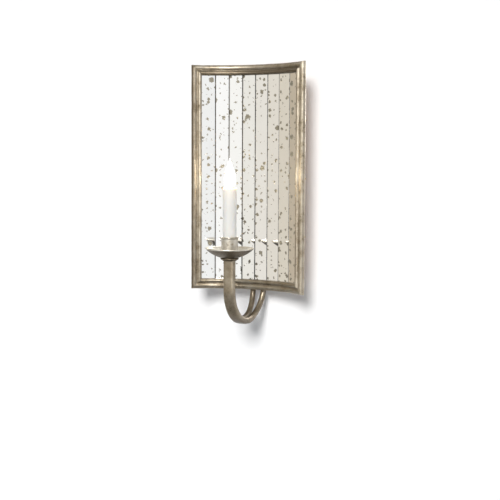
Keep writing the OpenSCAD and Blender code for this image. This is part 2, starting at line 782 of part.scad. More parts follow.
// Leads: one wire runs up each prong, round the bend and up the candle to the socket.
lead_r = 1.1;
lead_in = 6;
lead_sides = 8;
lead_bar_x = 1.8;         // each lead's place beside the axis in the nipple
lead_socket_x = 5;
lead_steps = 18;

function lead_x(t) = lead_bar_x + (fork_in - lead_bar_x) * ease((t + 60) / 60);
function lead_path() = concat(
  [[lead_socket_x, -reach, socket_z + lead_in - 0.4], [lead_socket_x, -reach, socket_z - 2],
    [lead_socket_x - 0.4, -reach, socket_z - 8], [lead_bar_x + 0.6, -reach, socket_z - 22],
    [lead_bar_x, -reach, socket_z - 34], [lead_bar_x, -reach, nipple_top], [lead_bar_x, -reach, bar_top],
    [lead_bar_x, -reach, (bar_top + bend_z) / 2], [lead_bar_x, -reach, bend_z + 4]],
  [for (k = [0 : lead_steps]) let (t = -88 + (88 + fork_t) * k / lead_steps) on_bend(t, lead_x(t))],
  [for (k = [1 : lead_steps]) let (t = fork_t + (90 - fork_t) * k / lead_steps) on_bend(t, fork_x(t))],
  [[fork_out, -prong_stand, bend_z + 20], [fork_out, -prong_stand, prong_end],
    [fork_out, -prong_stand, prong_end + thread_l + 2], [fork_out + 1.2, -prong_stand + 0.4, prong_end + thread_l + 8],
    [fork_out + 4.5, -prong_stand + 1.6, prong_end + thread_l + 14], [fork_out + 8.5, -prong_stand + 2.8, prong_end + thread_l + 19],
    [fork_out + 11, -prong_stand + 3.4, prong_end + thread_l + 25], [fork_out + 11.4, -prong_stand + 3.4, prong_end + thread_l + 30]]
);

module lead() {
  rod(lead_path(), lead_r, lead_sides, [0, 0, -1], [0, 0, 1]);
}

module wire_nuts() {
  nut_l = 17;
  color([0.85, 0.4, 0.12]) for (side = [0, 1])
    mirror([side, 0, 0]) translate([fork_out + 11.4, -prong_stand + 3.4, prong_end + thread_l + 27]) difference() {
      union() {
        cylinder(r1 = 5.4, r2 = 4.6, h = 6, $fn = 48);
        translate([0, 0, 6]) cylinder(r1 = 4.6, r2 = 3, h = nut_l - 6, $fn = 48);
      }
      translate([0, 0, -eps]) cylinder(r = lead_r + 0.3, h = 9, $fn = 24);
    }
}

top_rail();
bottom_rail();
stile(-1);  // left_stile
stile(1);  // right_stile
mirror_strip(1);  // mirror_strip_1
mirror_strip(2);  // mirror_strip_2
mirror_strip(3);  // mirror_strip_3
mirror_strip(4);  // mirror_strip_4
mirror_strip(5);  // mirror_strip_5
mirror_strip(6);  // mirror_strip_6
mirror_strip(7);  // mirror_strip_7
mirror_strip(8);  // mirror_strip_8
backing_board();
retaining_clips();
clip_screws();
saddle(1);  // upper_saddle
saddle(-1);  // lower_saddle
saddle_screws();
wall_pan();
mounting_strap();
side_screws();
ground_screw();
arm_bar();
mirror([1, 0, 0]) prong();  // left_prong
prong();  // right_prong
prong_nuts();
collar();
drip_pan();
candle_cup();
cup_nipple();
cup_nut();
socket_bracket();
bracket_rivet();
socket_body();
socket_shell();
socket_contact();
candle_sleeve();
bulb_cap();
bulb_insulator();
bulb_glass();
bulb_stem();
filament();
color([0.1, 0.1, 0.1]) lead();  // hot_lead
color([0.93, 0.93, 0.9]) mirror([1, 0, 0]) lead();  // neutral_lead
wire_nuts();
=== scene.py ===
"""Electric wall sconce: a candle on a forked arm, before a tall hollow panel of old mirror strips."""

import math

import bmesh
import bpy
import numpy as np
from mathutils import Matrix, Vector


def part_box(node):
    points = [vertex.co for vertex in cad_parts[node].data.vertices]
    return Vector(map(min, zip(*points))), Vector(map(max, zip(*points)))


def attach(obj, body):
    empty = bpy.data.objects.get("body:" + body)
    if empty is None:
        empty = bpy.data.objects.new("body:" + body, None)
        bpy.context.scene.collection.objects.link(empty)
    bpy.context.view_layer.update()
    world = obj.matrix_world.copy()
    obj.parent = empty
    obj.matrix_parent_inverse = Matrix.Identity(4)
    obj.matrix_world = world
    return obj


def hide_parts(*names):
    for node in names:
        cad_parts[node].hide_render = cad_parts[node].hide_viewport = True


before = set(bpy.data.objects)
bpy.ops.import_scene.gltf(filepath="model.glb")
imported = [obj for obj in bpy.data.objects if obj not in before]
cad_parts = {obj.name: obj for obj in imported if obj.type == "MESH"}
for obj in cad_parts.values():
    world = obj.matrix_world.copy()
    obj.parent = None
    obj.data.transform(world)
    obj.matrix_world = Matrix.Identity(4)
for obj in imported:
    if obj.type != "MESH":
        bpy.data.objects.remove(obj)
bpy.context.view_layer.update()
scene = bpy.context.scene
scene.view_settings.view_transform = "Standard"

# ---------------------------------------------------------------------------------------
# Camera. It stands to the right of the sconce, a little above the middle of it, with a
# long lens, and is rolled by about a quarter of a degree.
AIM = Vector((-0.001, -0.0567, -0.0725))
AWAY = 1.9637
ROUND, ABOVE, TILT = math.radians(25.0), math.radians(4.8), math.radians(0.27)
towards = Vector((
    math.sin(ROUND) * math.cos(ABOVE),
    -math.cos(ROUND) * math.cos(ABOVE),
    math.sin(ABOVE),
))
lens = bpy.data.cameras.new("camera")
lens.lens = 76.5
lens.sensor_width = 36.0
lens.clip_start = 0.05
camera = bpy.data.objects.new("camera", lens)
turn = towards.to_track_quat("Z", "Y").to_matrix() @ Matrix.Rotation(TILT, 3, "Z")
camera.matrix_world = Matrix.Translation(AIM + towards * AWAY) @ turn.to_4x4()
scene.collection.objects.link(camera)
scene.camera = camera


# ---------------------------------------------------------------------------------------
# Room. A white wall takes the sconce's soft shadow, with a pale floor well below it. The
# wall can't be seen from behind, so that the back of the sconce can be looked at.
WALL_W, WALL_TOP, FLOOR_Z, FLOOR_D = 7.0, 2.4, -0.95, 3.2


def add(tree, kind, inputs=None, **settings):
    """Adds a shader node with its settings, and sets or links each named or numbered input."""
    new = tree.nodes.new(kind)
    for name, value in settings.items():
        setattr(new, name, value)
    for name, value in (inputs or {}).items():
        if isinstance(value, bpy.types.NodeSocket):
            tree.links.new(value, new.inputs[name])
        else:
            new.inputs[name].default_value = value
    return new


def new_material(name):
    """A material with an empty node tree and its output; gives both the material and the tree."""
    mat = bpy.data.materials.new(name)
    mat.use_nodes = True
    mat.node_tree.nodes.clear()
    return mat, mat.node_tree


def room_material(name, colour, lift, see_through):
    """A matt room surface that the camera sees a little lighter than the lamps make it."""
    mat, tree = new_material(name)
    path = add(tree, "ShaderNodeLightPath")
    grain = add(tree, "ShaderNodeTexNoise", {"Scale": 60.0, "Detail": 3.0})
    bump = add(tree, "ShaderNodeBump", {"Strength": 0.03, "Distance": 0.001, "Height": grain.outputs[0]})
    matt = add(tree, "ShaderNodeBsdfPrincipled", {
        "Base Color": colour, "Roughness": 0.9, "Specular IOR Level": 0.1, "Normal": bump.outputs[0]})
    glow = add(tree, "ShaderNodeMath", {0: path.outputs["Is Camera Ray"], 1: lift}, operation="MULTIPLY")
    light = add(tree, "ShaderNodeEmission", {"Color": (1, 1, 1, 1), "Strength": glow.outputs[0]})
    both = add(tree, "ShaderNodeAddShader", {0: matt.outputs[0], 1: light.outputs[0]})
    result = both
    if see_through:
        behind = add(tree, "ShaderNodeNewGeometry")
        clear = add(tree, "ShaderNodeBsdfTransparent")
        result = add(tree, "ShaderNodeMixShader", {
            0: behind.outputs["Backfacing"], 1: both.outputs[0], 2: clear.outputs[0]})
    add(tree, "ShaderNodeOutputMaterial", {"Surface": result.outputs[0]})
    return mat


def room_plane(name, corners, mat):
    """A flat rectangle from its four corners in order."""
    mesh = bpy.data.meshes.new(name)
    mesh.from_pydata(corners, [], [(0, 1, 2, 3)])
    mesh.materials.append(mat)
    plane = bpy.data.objects.new(name, mesh)
    scene.collection.objects.link(plane)
    return plane


half = WALL_W / 2
wall = room_plane("wall", [
    (-half, 0.0006, FLOOR_Z), (half, 0.0006, FLOOR_Z), (half, 0.0006, WALL_TOP), (-half, 0.0006, WALL_TOP),
], room_material("wall paint", (0.90, 0.90, 0.91, 1), 0.08, True))
floor = room_plane("floor", [
    (-half, -FLOOR_D, FLOOR_Z), (half, -FLOOR_D, FLOOR_Z), (half, FLOOR_D, FLOOR_Z), (-half, FLOOR_D, FLOOR_Z),
], room_material("floor paint", (0.45, 0.45, 0.45, 1), 0.42, False))


# ---------------------------------------------------------------------------------------
# Light. A broad soft sun shines from in front, above and a little to the right, with a weak
# warm lamp on the left and one behind the wall for the back. Shiny pieces see a ring of STUDIO
# tones: white in front, cool on the right, and falling off to tan on the left.
STUDIO = (
    (0.00, (0.10, 0.09, 0.08)), (0.13, (0.07, 0.058, 0.045)), (0.24, (0.17, 0.14, 0.10)),
    (0.278, (0.50, 0.425, 0.325)), (0.306, (0.62, 0.55, 0.45)), (0.350, (0.73, 0.68, 0.59)),
    (0.405, (0.82, 0.785, 0.73)), (0.460, (0.88, 0.87, 0.83)), (0.50, (0.99, 0.99, 0.975)),
    (0.54, (1.0, 1.0, 1.0)), (0.584, (0.90, 0.91, 0.915)), (0.70, (0.88, 0.90, 0.93)),
    (0.82, (0.75, 0.77, 0.80)), (1.00, (0.14, 0.13, 0.12)),
)
world = bpy.data.worlds.new("studio")
scene.world = world
world.use_nodes = True
sky = world.node_tree
sky.nodes.clear()
where = add(sky, "ShaderNodeTexCoord")
parts = add(sky, "ShaderNodeSeparateXYZ", {0: where.outputs["Generated"]})
ahead = add(sky, "ShaderNodeMath", {0: parts.outputs[1], 1: -1.0}, operation="MULTIPLY")
angle = add(sky, "ShaderNodeMath", {0: parts.outputs[0], 1: ahead.outputs[0]}, operation="ARCTAN2")
share = add(sky, "ShaderNodeMath", {0: angle.outputs[0], 1: 0.5 / math.pi, 2: 0.5}, operation="MULTIPLY_ADD")
ring = add(sky, "ShaderNodeValToRGB", {0: share.outputs[0]})
for place, (stop, tone) in enumerate(STUDIO):
    entry = ring.color_ramp.elements[place] if place < 2 else ring.color_ramp.elements.new(stop)
    entry.position = stop
    entry.color = (*tone, 1)
low = add(sky, "ShaderNodeMapRange", {0: parts.outputs[2], 1: -0.42, 2: -0.13, 3: 0.10, 4: 1.0},
          interpolation_type="SMOOTHSTEP")
shaded = add(sky, "ShaderNodeVectorMath", {0: ring.outputs[0], 1: low.outputs[0]}, operation="MULTIPLY")
path = add(sky, "ShaderNodeLightPath")
seen = add(sky, "ShaderNodeMath", {0: path.outputs["Is Camera Ray"], 1: path.outputs["Is Transmission Ray"]},
           operation="MAXIMUM")
fill = add(sky, "ShaderNodeBackground", {"Color": (0.80, 0.90, 1.0, 1), "Strength": 0.17})
mirrored = add(sky, "ShaderNodeBackground", {"Color": shaded.outputs[0], "Strength": 1.0})
plain = add(sky, "ShaderNodeBackground", {"Color": (1, 1, 1, 1), "Strength": 1.0})
mix_a = add(sky, "ShaderNodeMixShader", {0: path.outputs["Is Glossy Ray"], 1: fill.outputs[0], 2: mirrored.outputs[0]})
mix_b = add(sky, "ShaderNodeMixShader", {0: seen.outputs[0], 1: mix_a.outputs[0], 2: plain.outputs[0]})
add(sky, "ShaderNodeOutputWorld", {"Surface": mix_b.outputs[0]})


def lamp(name, place, aim, size, watts, colour):
    """A square area lamp that faces a point."""
    data = bpy.data.lights.new(name, "AREA")
    data.size = size
    data.energy = watts
    data.color = colour
    new = bpy.data.objects.new(name, data)
    facing = (Vector(place) - Vector(aim)).to_track_quat("Z", "Y").to_matrix().to_4x4()
    new.matrix_world = Matrix.Translation(place) @ facing
    scene.collection.objects.link(new)
    return new


key = bpy.data.lights.new("key lamp", "SUN")
key.energy = 2.95
key.angle = math.radians(20)
key.color = (1.0, 0.99, 0.975)
key_lamp = bpy.data.objects.new("key lamp", key)
key_lamp.matrix_world = Vector((0.173, -0.890, 0.423)).to_track_quat("Z", "Y").to_matrix().to_4x4()
scene.collection.objects.link(key_lamp)
side_lamp = lamp("side lamp", (-1.9, -1.3, 0.5), (0, 0, 0), 1.0, 2, (1.0, 0.95, 0.87))
side_lamp.visible_glossy = False
back_lamp = lamp("back lamp", (0.5, 2.2, 0.9), (0, 0, 0), 1.6, 40, (1.0, 1.0, 1.0))
for role in ("blocker_collection", "receiver_collection"):
    left_out = bpy.data.collections.new("room " + role)
    setattr(back_lamp.light_linking, role, left_out)
    for thing in (wall, floor):
        left_out.objects.link(thing)
    for member in left_out.collection_objects:
        member.light_linking.link_state = "EXCLUDE"


# ---------------------------------------------------------------------------------------
# Frame. Four lengths of carved wood moulding, two bent to the curve, mitred and gilded with
# silver leaf that is rubbed through to the brown ground. A bold outer bead and a proud inner
# bead stand on either side of a narrow valley.
PANEL_W, PANEL_H, PANEL_Z = 0.228, 0.416, 0.060
CURVE_R, CURVE_Y = 0.185, -0.2233
BEAD_R, LIP_R, LIP_W, LIP_RISE = 0.0057, 0.0037, 0.0152, 0.0036
SIGHT_W = LIP_W + LIP_R + 0.0003
MID_W = SIGHT_W / 2
REBATE_W, FRAME_BACK = 0.014, 0.007
offset = MID_W - BEAD_R
END_T = math.asin((PANEL_W / 2 - BEAD_R) / math.hypot(CURVE_R, offset)) - math.atan(offset / CURVE_R)


def grid_faces(rows, cols, wrap_rows=False, wrap_cols=False):
    """Four-sided faces between neighbours of a grid of points that is numbered row by row."""
    r = np.arange(rows if wrap_rows else rows - 1)[:, None]
    c = np.arange(cols if wrap_cols else cols - 1)[None, :]
    r2, c2 = (r + 1) % rows, (c + 1) % cols
    return np.stack([r * cols + c, r * cols + c2, r2 * cols + c2, r2 * cols + c], -1).reshape(-1, 4)


def make_piece(name, points, faces, mat, body, nodes, crease=38.0, marks=None):
    """A mesh object from points and faces, smooth but for edges sharper than crease degrees. marks are
    named numbers or vectors for each point, which its material reads. It rides on body, in place of nodes."""
    mesh = bpy.data.meshes.new(name)
    mesh.from_pydata(np.asarray(points, float).tolist(), [], [list(map(int, f)) for f in faces])
    for key, values in (marks or {}).items():
        values = np.asarray(values, np.float32)
        if values.ndim > 1:
            mesh.attributes.new(key, "FLOAT_VECTOR", "POINT").data.foreach_set("vector", values.ravel())
        else:
            mesh.attributes.new(key, "FLOAT", "POINT").data.foreach_set("value", values)
    shell = bmesh.new()
    shell.from_mesh(mesh)
    bmesh.ops.remove_doubles(shell, verts=shell.verts, dist=1e-7)
    bmesh.ops.recalc_face_normals(shell, faces=shell.faces)
    shell.to_mesh(mesh)
    shell.free()
    mesh.shade_smooth()
    mesh.set_sharp_from_angle(angle=math.radians(crease))
    mesh.materials.append(mat)
    piece = bpy.data.objects.new(name, mesh)
    scene.collection.objects.link(piece)
    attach(piece, body)
    if nodes:
        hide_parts(*nodes)
    return piece


def arc(cx, cy, r, start, stop, count):
    """Points of a circle's arc: centre plus r times (cos a, sin a), a from start to stop degrees."""
    a = np.radians(np.linspace(start, stop, count))
    return np.stack([cx + r * np.cos(a), cy + r * np.sin(a)], -1)


def moulding_outline(painted_shade):
    """The moulding's outline as (distance from the outer edge, depth behind the outer bead's axis), with how
    much painted shade and how much painted highlight each point gets. The beads are arcs; gesso fills the valley
    to a shallow curve. Painted shade darkens the valley and the sight edge, and each piece adds its own at
    the outer edge, crown, valley, start and end of the inner bead; the back gets none."""
    outer = arc(BEAD_R, 0, BEAD_R, -212, -50, 40)
    valley = np.array([[0.0100, -0.00395], [0.0106, -0.00382], [0.0112, -0.0041]])
    inner = arc(LIP_W, -LIP_RISE, LIP_R, -165, -8, 30)
    under = np.array([[SIGHT_W - 0.0003, -0.0024], [SIGHT_W - 0.0003, -0.0002], [REBATE_W, -0.0002],
                      [REBATE_W, FRAME_BACK], [BEAD_R + 0.0003, FRAME_BACK], [BEAD_R - 0.002, FRAME_BACK - 0.0025]])
    out = np.concatenate([outer, valley, inner, under])
    # Painted shade: darker in the valley between the beads and at the sight edge by the glass.
    hollow = 0.45 * np.clip(1 - np.abs(out[:, 0] - 0.0107) / 0.0013, 0, 1)
    hollow = np.maximum(hollow, np.clip((out[:, 0] - 0.0183) / 0.0008, 0, 1) * (out[:, 1] < 0))
    # Painted shade given for each piece along its profile, none on the back.
    profile_shade = np.interp(out[:, 0], (0.0005, 0.0045, 0.0100, 0.0130, 0.0185), painted_shade)
    hollow = np.maximum(hollow, profile_shade) * (out[:, 1] < 0.0005)
    # Painted highlight on the crests of both beads.
    proud = np.clip((-out[:, 1] - 0.0045) / 0.0012, 0, 1)
    return out, hollow, proud


def hand(u, v, size):
    """A gentle unevenness from hand work: a sum of slow sine waves in u and v, in metres, up to size."""
    return size * (0.4 * np.sin(61 * u + 17 * v + 1) + 0.35 * np.sin(143 * u - 31 * v + 2.3)
                   + 0.25 * np.sin(307 * u + 71 * v + 0.7))


def leaf_group():
    """Worn silver leaf. Three sizes of noise mix pale silver with a warm tarnish and rub it through to brown
    in patches. Hollow is painted shade: it adds tarnish and darkens the leaf towards brown-black. Proud is a
    painted highlight: crests keep a little less rub and tarnish. It gives colour, roughness, metal and height."""
    group = bpy.data.node_groups.new("worn leaf", "ShaderNodeTree")
    face = group.interface
    face.new_socket("Vector", in_out="INPUT", socket_type="NodeSocketVector")
    for name in ("Rub", "Warm", "Hollow", "Proud"):
        face.new_socket(name, in_out="INPUT", socket_type="NodeSocketFloat")
    for name in ("Silver", "Tarnish"):
        face.new_socket(name, in_out="INPUT", socket_type="NodeSocketColor")
    face.new_socket("Color", in_out="OUTPUT", socket_type="NodeSocketColor")
    for name in ("Roughness", "Metallic", "Height"):
        face.new_socket(name, in_out="OUTPUT", socket_type="NodeSocketFloat")
    get = add(group, "NodeGroupInput").outputs
    wide = add(group, "ShaderNodeTexNoise", {"Vector": get[0], "Scale": 46.0, "Detail": 5.0, "Roughness": 0.62})
    mid = add(group, "ShaderNodeTexNoise", {
        "Vector": get[0], "Scale": 235.0, "Detail": 7.0, "Roughness": 0.72, "Distortion": 0.6})
    fine = add(group, "ShaderNodeTexNoise", {"Vector": get[0], "Scale": 1300.0, "Detail": 3.0, "Roughness": 0.6})
    grit = add(group, "ShaderNodeMath", {0: fine.outputs[0], 1: 0.16}, operation="MULTIPLY")
    sum_a = add(group, "ShaderNodeMath", {0: mid.outputs[0], 1: 0.52, 2: grit.outputs[0]}, operation="MULTIPLY_ADD")
    sum_b = add(group, "ShaderNodeMath", {0: wide.outputs[0], 1: 0.32, 2: sum_a.outputs[0]}, operation="MULTIPLY_ADD")
    # Painted highlight: Proud holds back the rub on crests.
    sum_c = add(group, "ShaderNodeMath", {0: get[4], 1: -0.012, 2: sum_b.outputs[0]}, operation="MULTIPLY_ADD")
    edge = add(group, "ShaderNodeMath", {0: get[1], 1: -0.2, 2: 0.62}, operation="MULTIPLY_ADD")
    far = add(group, "ShaderNodeMath", {0: edge.outputs[0], 1: 0.10}, operation="ADD")
    rub = add(group, "ShaderNodeMapRange", {0: sum_c.outputs[0], 1: edge.outputs[0], 2: far.outputs[0]},
              interpolation_type="SMOOTHSTEP")
    warm = add(group, "ShaderNodeMath", {0: wide.outputs[0], 1: 2.4, 2: -1.2}, operation="MULTIPLY_ADD")
    # Painted highlight and shade: Proud lowers the tarnish on crests and Hollow raises it.
    crest = add(group, "ShaderNodeMath", {0: get[4], 1: -0.08, 2: get[2]}, operation="MULTIPLY_ADD")
    warm = add(group, "ShaderNodeMath", {0: warm.outputs[0], 1: crest.outputs[0]}, operation="ADD", use_clamp=True)
    silver = add(group, "ShaderNodeMix", {0: warm.outputs[0], 6: get[5], 7: get[6]},
                 data_type="RGBA")
    ground = add(group, "ShaderNodeMix", {0: fine.outputs[0], 6: (0.055, 0.04, 0.023, 1), 7: (0.21, 0.165, 0.10, 1)},
                 data_type="RGBA")
    part = add(group, "ShaderNodeMath", {0: rub.outputs[0], 1: 0.78}, operation="MULTIPLY")
    worn = add(group, "ShaderNodeMix", {0: part.outputs[0], 6: silver.outputs[2], 7: ground.outputs[2]},
               data_type="RGBA")
    # Painted shade: Hollow darkens the leaf towards brown-black.
    deep = add(group, "ShaderNodeMath", {0: fine.outputs[0], 1: 0.5, 2: 0.3}, operation="MULTIPLY_ADD")
    deep = add(group, "ShaderNodeMath", {0: deep.outputs[0], 1: get[3]}, operation="MULTIPLY", use_clamp=True)
    dark = add(group, "ShaderNodeMix", {0: deep.outputs[0], 6: worn.outputs[2], 7: (0.10, 0.075, 0.045, 1)},
               data_type="RGBA")
    rough = add(group, "ShaderNodeMath", {0: rub.outputs[0], 1: 0.28, 2: 0.30}, operation="MULTIPLY_ADD")
    rough = add(group, "ShaderNodeMath", {0: fine.outputs[0], 1: 0.12, 2: rough.outputs[0]}, operation="MULTIPLY_ADD")
    metal = add(group, "ShaderNodeMath", {0: rub.outputs[0], 1: -0.55, 2: 0.92}, operation="MULTIPLY_ADD")
    high = add(group, "ShaderNodeMath", {0: rub.outputs[0], 1: -0.4, 2: mid.outputs[0]}, operation="MULTIPLY_ADD")
    high = add(group, "ShaderNodeMath", {0: fine.outputs[0], 1: 0.35, 2: high.outputs[0]}, operation="MULTIPLY_ADD")
    add(group, "NodeGroupOutput", {0: dark.outputs[2], 1: rough.outputs[0], 2: metal.outputs[0], 3: high.outputs[0]})
    return group


WORN_LEAF = leaf_group()


def leaf_material(name, silver, tarnish, rub, warm, depth):
    """Silver leaf over a brown ground; rub is how much is worn through, warm how tarnished it is."""
    mat, tree = new_material(name)
    where = add(tree, "ShaderNodeTexCoord")
    # The hollow mark carries painted shade and the proud mark a painted highlight.
    hollow = add(tree, "ShaderNodeAttribute", attribute_name="hollow")
    proud = add(tree, "ShaderNodeAttribute", attribute_name="proud")
    worn = add(tree, "ShaderNodeGroup", node_tree=WORN_LEAF)
    for socket, value in (("Vector", where.outputs["Object"]), ("Hollow", hollow.outputs["Fac"]),
                          ("Proud", proud.outputs["Fac"])):
        tree.links.new(value, worn.inputs[socket])
    worn.inputs["Rub"].default_value = rub
    worn.inputs["Warm"].default_value = warm
    worn.inputs["Silver"].default_value = (*silver, 1)
    worn.inputs["Tarnish"].default_value = (*tarnish, 1)
    bump = add(tree, "ShaderNodeBump", {"Strength": 0.6, "Distance": depth, "Height": worn.outputs["Height"]})
    skin = add(tree, "ShaderNodeBsdfPrincipled", {
        "Base Color": worn.outputs["Color"], "Roughness": worn.outputs["Roughness"],
        "Metallic": worn.outputs["Metallic"], "Normal": bump.outputs[0]})
    add(tree, "ShaderNodeOutputMaterial", {"Surface": skin.outputs[0]})
    return mat


frame_leaf = leaf_material("frame leaf", (0.59, 0.53, 0.43), (0.29, 0.235, 0.16), 0.58, 0.48, 0.0005)


def rail(name, side, painted_shade):
    """Each point of the outline runs along an arc about the curve's axis, as far each way as the mitre:
    angle = end angle + asin((middle - distance from the edge) / radius). side is 1 on top, -1 below."""
    out, hollow, proud = moulding_outline(painted_shade)
    n = 150
    u = np.linspace(-1, 1, n)[:, None]
    r = CURVE_R + out[:, 1][None, :]
    reach = END_T + np.arcsin((MID_W - out[:, 0]) / r[0])[None, :]
    t = u * reach
    r = r + hand(t * CURVE_R, out[:, 0][None, :] * 9 + side, 0.00014) * (r < CURVE_R)
    z = np.broadcast_to(PANEL_Z + side * (PANEL_H / 2 - out[:, 0]), t.shape)
    points = np.stack([r * np.sin(t), CURVE_Y + r * np.cos(t), z], -1).reshape(-1, 3)
    m = len(out)
    faces = grid_faces(n, m, wrap_cols=True).tolist() + [list(range(m)), list(range((n - 1) * m, n * m))]
    return make_piece(name, points, faces, frame_leaf, "fixture", [name],
                      marks={"hollow": np.tile(hollow, n), "proud": np.tile(proud, n)})


def stile(name, side, painted_shade):
    """The outline, turned square to the curve at the panel's end, runs straight up between the mitres:
    height = half the panel less the distance from the edge. side is 1 on the right, -1 on the left."""
    out, hollow, proud = moulding_outline(painted_shade)
    n = 220
    u = np.linspace(-1, 1, n)[:, None]
    z = u * (PANEL_H / 2 - out[:, 0][None, :])
    away = MID_W - out[:, 0][None, :]
    deep = CURVE_R + out[:, 1][None, :] + hand(z, away * 9 + side, 0.00016) * (out[:, 1] < 0)[None, :]
    x = side * (away * math.cos(END_T) + deep * math.sin(END_T))
    y = CURVE_Y - away * math.sin(END_T) + deep * math.cos(END_T)
    points = np.stack([x, y, z + PANEL_Z], -1).reshape(-1, 3)
    m = len(out)
    faces = grid_faces(n, m, wrap_cols=True).tolist() + [list(range(m)), list(range((n - 1) * m, n * m))]
    return make_piece(name, points, faces, frame_leaf, "fixture", [name],
                      marks={"hollow": np.tile(hollow, n), "proud": np.tile(proud, n)})


# The numbers after each piece are painted shade across its profile, strongest on the top rail's inner bead and the
# left stile's outer edge.
rail("top_rail", 1, (0.8, 0.5, 1.0, 1.5, 1.5))
rail("bottom_rail", -1, (0.9, 0.6, 0.9, 0.8, 0.9))
stile("left_stile", -1, (1.6, 1.0, 0.15, 0.0, 0.0))
stile("right_stile", 1, (0.3, 0.1, 0.1, 0.0, 0.2))


# ---------------------------------------------------------------------------------------
# Mirror. Eight flat strips of aged mirror glass stand side by side round the hollow. Their
# long edges are ground and have lost their silver, and olive-brown flecks and blots have
# eaten through it all over.
STRIPS, GLASS_R, GLASS_T, STRIP_GAP, TUCK, ARRIS = 8, 0.1855, 0.003, 0.0006, 0.0035, 0.0006
GLASS_H = PANEL_H - 2 * (REBATE_W + 0.0004)
STRIP_T = 2 * (END_T + (MID_W - SIGHT_W) / CURVE_R) / STRIPS
STRIP_TURN = (0.3, -0.4, 0.2, 1.2, -0.7, -2.3, -3.0, -0.5)  # degrees each is turned, as laid by hand


def mirror_material():
    """Silvered glass. Cells of three sizes each carry one spot of its own width, bent by noise; spots and
    the rims of the strips go from bright metal to a matt olive brown."""
    mat, tree = new_material("aged mirror")
    place = add(tree, "ShaderNodeAttribute", attribute_name="strip_place")
    rim = add(tree, "ShaderNodeAttribute", attribute_name="rim")
    bend = add(tree, "ShaderNodeTexNoise", {
        "Vector": place.outputs["Vector"], "Scale": 320.0, "Detail": 3.0, "Roughness": 0.6})
    shift = add(tree, "ShaderNodeVectorMath", {0: bend.outputs["Color"], 1: (0.5, 0.5, 0.5)}, operation="SUBTRACT")
    shift = add(tree, "ShaderNodeVectorMath", {0: shift.outputs[0], 1: (0.008, 0.008, 0.0)}, operation="MULTIPLY")
    moved = add(tree, "ShaderNodeVectorMath", {0: place.outputs["Vector"], 1: shift.outputs[0]}, operation="ADD")
    spots = None
    for scale, least, most in ((120.0, -0.36, 0.23), (71.0, -0.08, 0.235), (37.0, -0.24, 0.20)):
        cell = add(tree, "ShaderNodeTexVoronoi", {"Vector": moved.outputs[0], "Scale": scale, "Randomness": 1.0},
                   voronoi_dimensions="2D")
        parts = add(tree, "ShaderNodeSeparateColor", {0: cell.outputs["Color"]})
        width = add(tree, "ShaderNodeMapRange", {0: parts.outputs[0], 1: 0.0, 2: 1.0, 3: least, 4: most})
        inside = add(tree, "ShaderNodeMath", {0: width.outputs[0], 1: cell.outputs["Distance"]}, operation="SUBTRACT")
        spot = add(tree, "ShaderNodeMapRange", {0: inside.outputs[0], 1: -0.02, 2: 0.02},
                   interpolation_type="SMOOTHSTEP")
        if spots is None:
            spots = spot
        else:
            spots = add(tree, "ShaderNodeMath", {0: spots.outputs[0], 1: spot.outputs[0]}, operation="MAXIMUM")
    haze = add(tree, "ShaderNodeTexNoise", {"Vector": place.outputs["Vector"], "Scale": 30.0, "Detail": 4.0})
    edge = add(tree, "ShaderNodeTexNoise", {"Vector": place.outputs["Vector"], "Scale": 260.0, "Detail": 5.0})
    rough_edge = add(tree, "ShaderNodeMapRange", {0: edge.outputs[0], 1: 0.30, 2: 0.50, 3: 0.35, 4: 1.0})
    lost = add(tree, "ShaderNodeMath", {0: rim.outputs["Fac"], 1: rough_edge.outputs[0]}, operation="MULTIPLY")
    tint = add(tree, "ShaderNodeMix", {0: haze.outputs[0], 6: (0.975, 0.972, 0.96, 1), 7: (0.915, 0.91, 0.885, 1)},
               data_type="RGBA")
    brown = add(tree, "ShaderNodeMix", {0: edge.outputs[0], 6: (0.05, 0.04, 0.02, 1), 7: (0.26, 0.225, 0.14, 1)},
                data_type="RGBA")
    spot_part = add(tree, "ShaderNodeMath", {0: spots.outputs[0], 1: 0.92}, operation="MULTIPLY")
    flecked = add(tree, "ShaderNodeMix", {0: spot_part.outputs[0], 6: tint.outputs[2], 7: brown.outputs[2]},
                  data_type="RGBA")
    rimmed = add(tree, "ShaderNodeMix", {0: lost.outputs[0], 6: flecked.outputs[2], 7: (0.035, 0.032, 0.03, 1)},
                 data_type="RGBA")
    gone = add(tree, "ShaderNodeMath", {0: spots.outputs[0], 1: lost.outputs[0]}, operation="MAXIMUM")
    rough = add(tree, "ShaderNodeMapRange", {0: gone.outputs[0], 1: 0.0, 2: 1.0, 3: 0.025, 4: 0.42})
    metal = add(tree, "ShaderNodeMapRange", {0: gone.outputs[0], 1: 0.0, 2: 1.0, 3: 1.0, 4: 0.15})
    wave = add(tree, "ShaderNodeTexNoise", {"Vector": place.outputs["Vector"], "Scale": 22.0, "Detail": 1.0})
    bump = add(tree, "ShaderNodeBump", {"Strength": 0.12, "Distance": 0.001, "Height": wave.outputs[0]})
    skin = add(tree, "ShaderNodeBsdfPrincipled", {
        "Base Color": rimmed.outputs[2], "Roughness": rough.outputs[0], "Metallic": metal.outputs[0],
        "Specular IOR Level": 0.5, "Normal": bump.outputs[0]})
    add(tree, "ShaderNodeOutputMaterial", {"Surface": skin.outputs[0]})
    return mat


aged_mirror = mirror_material()


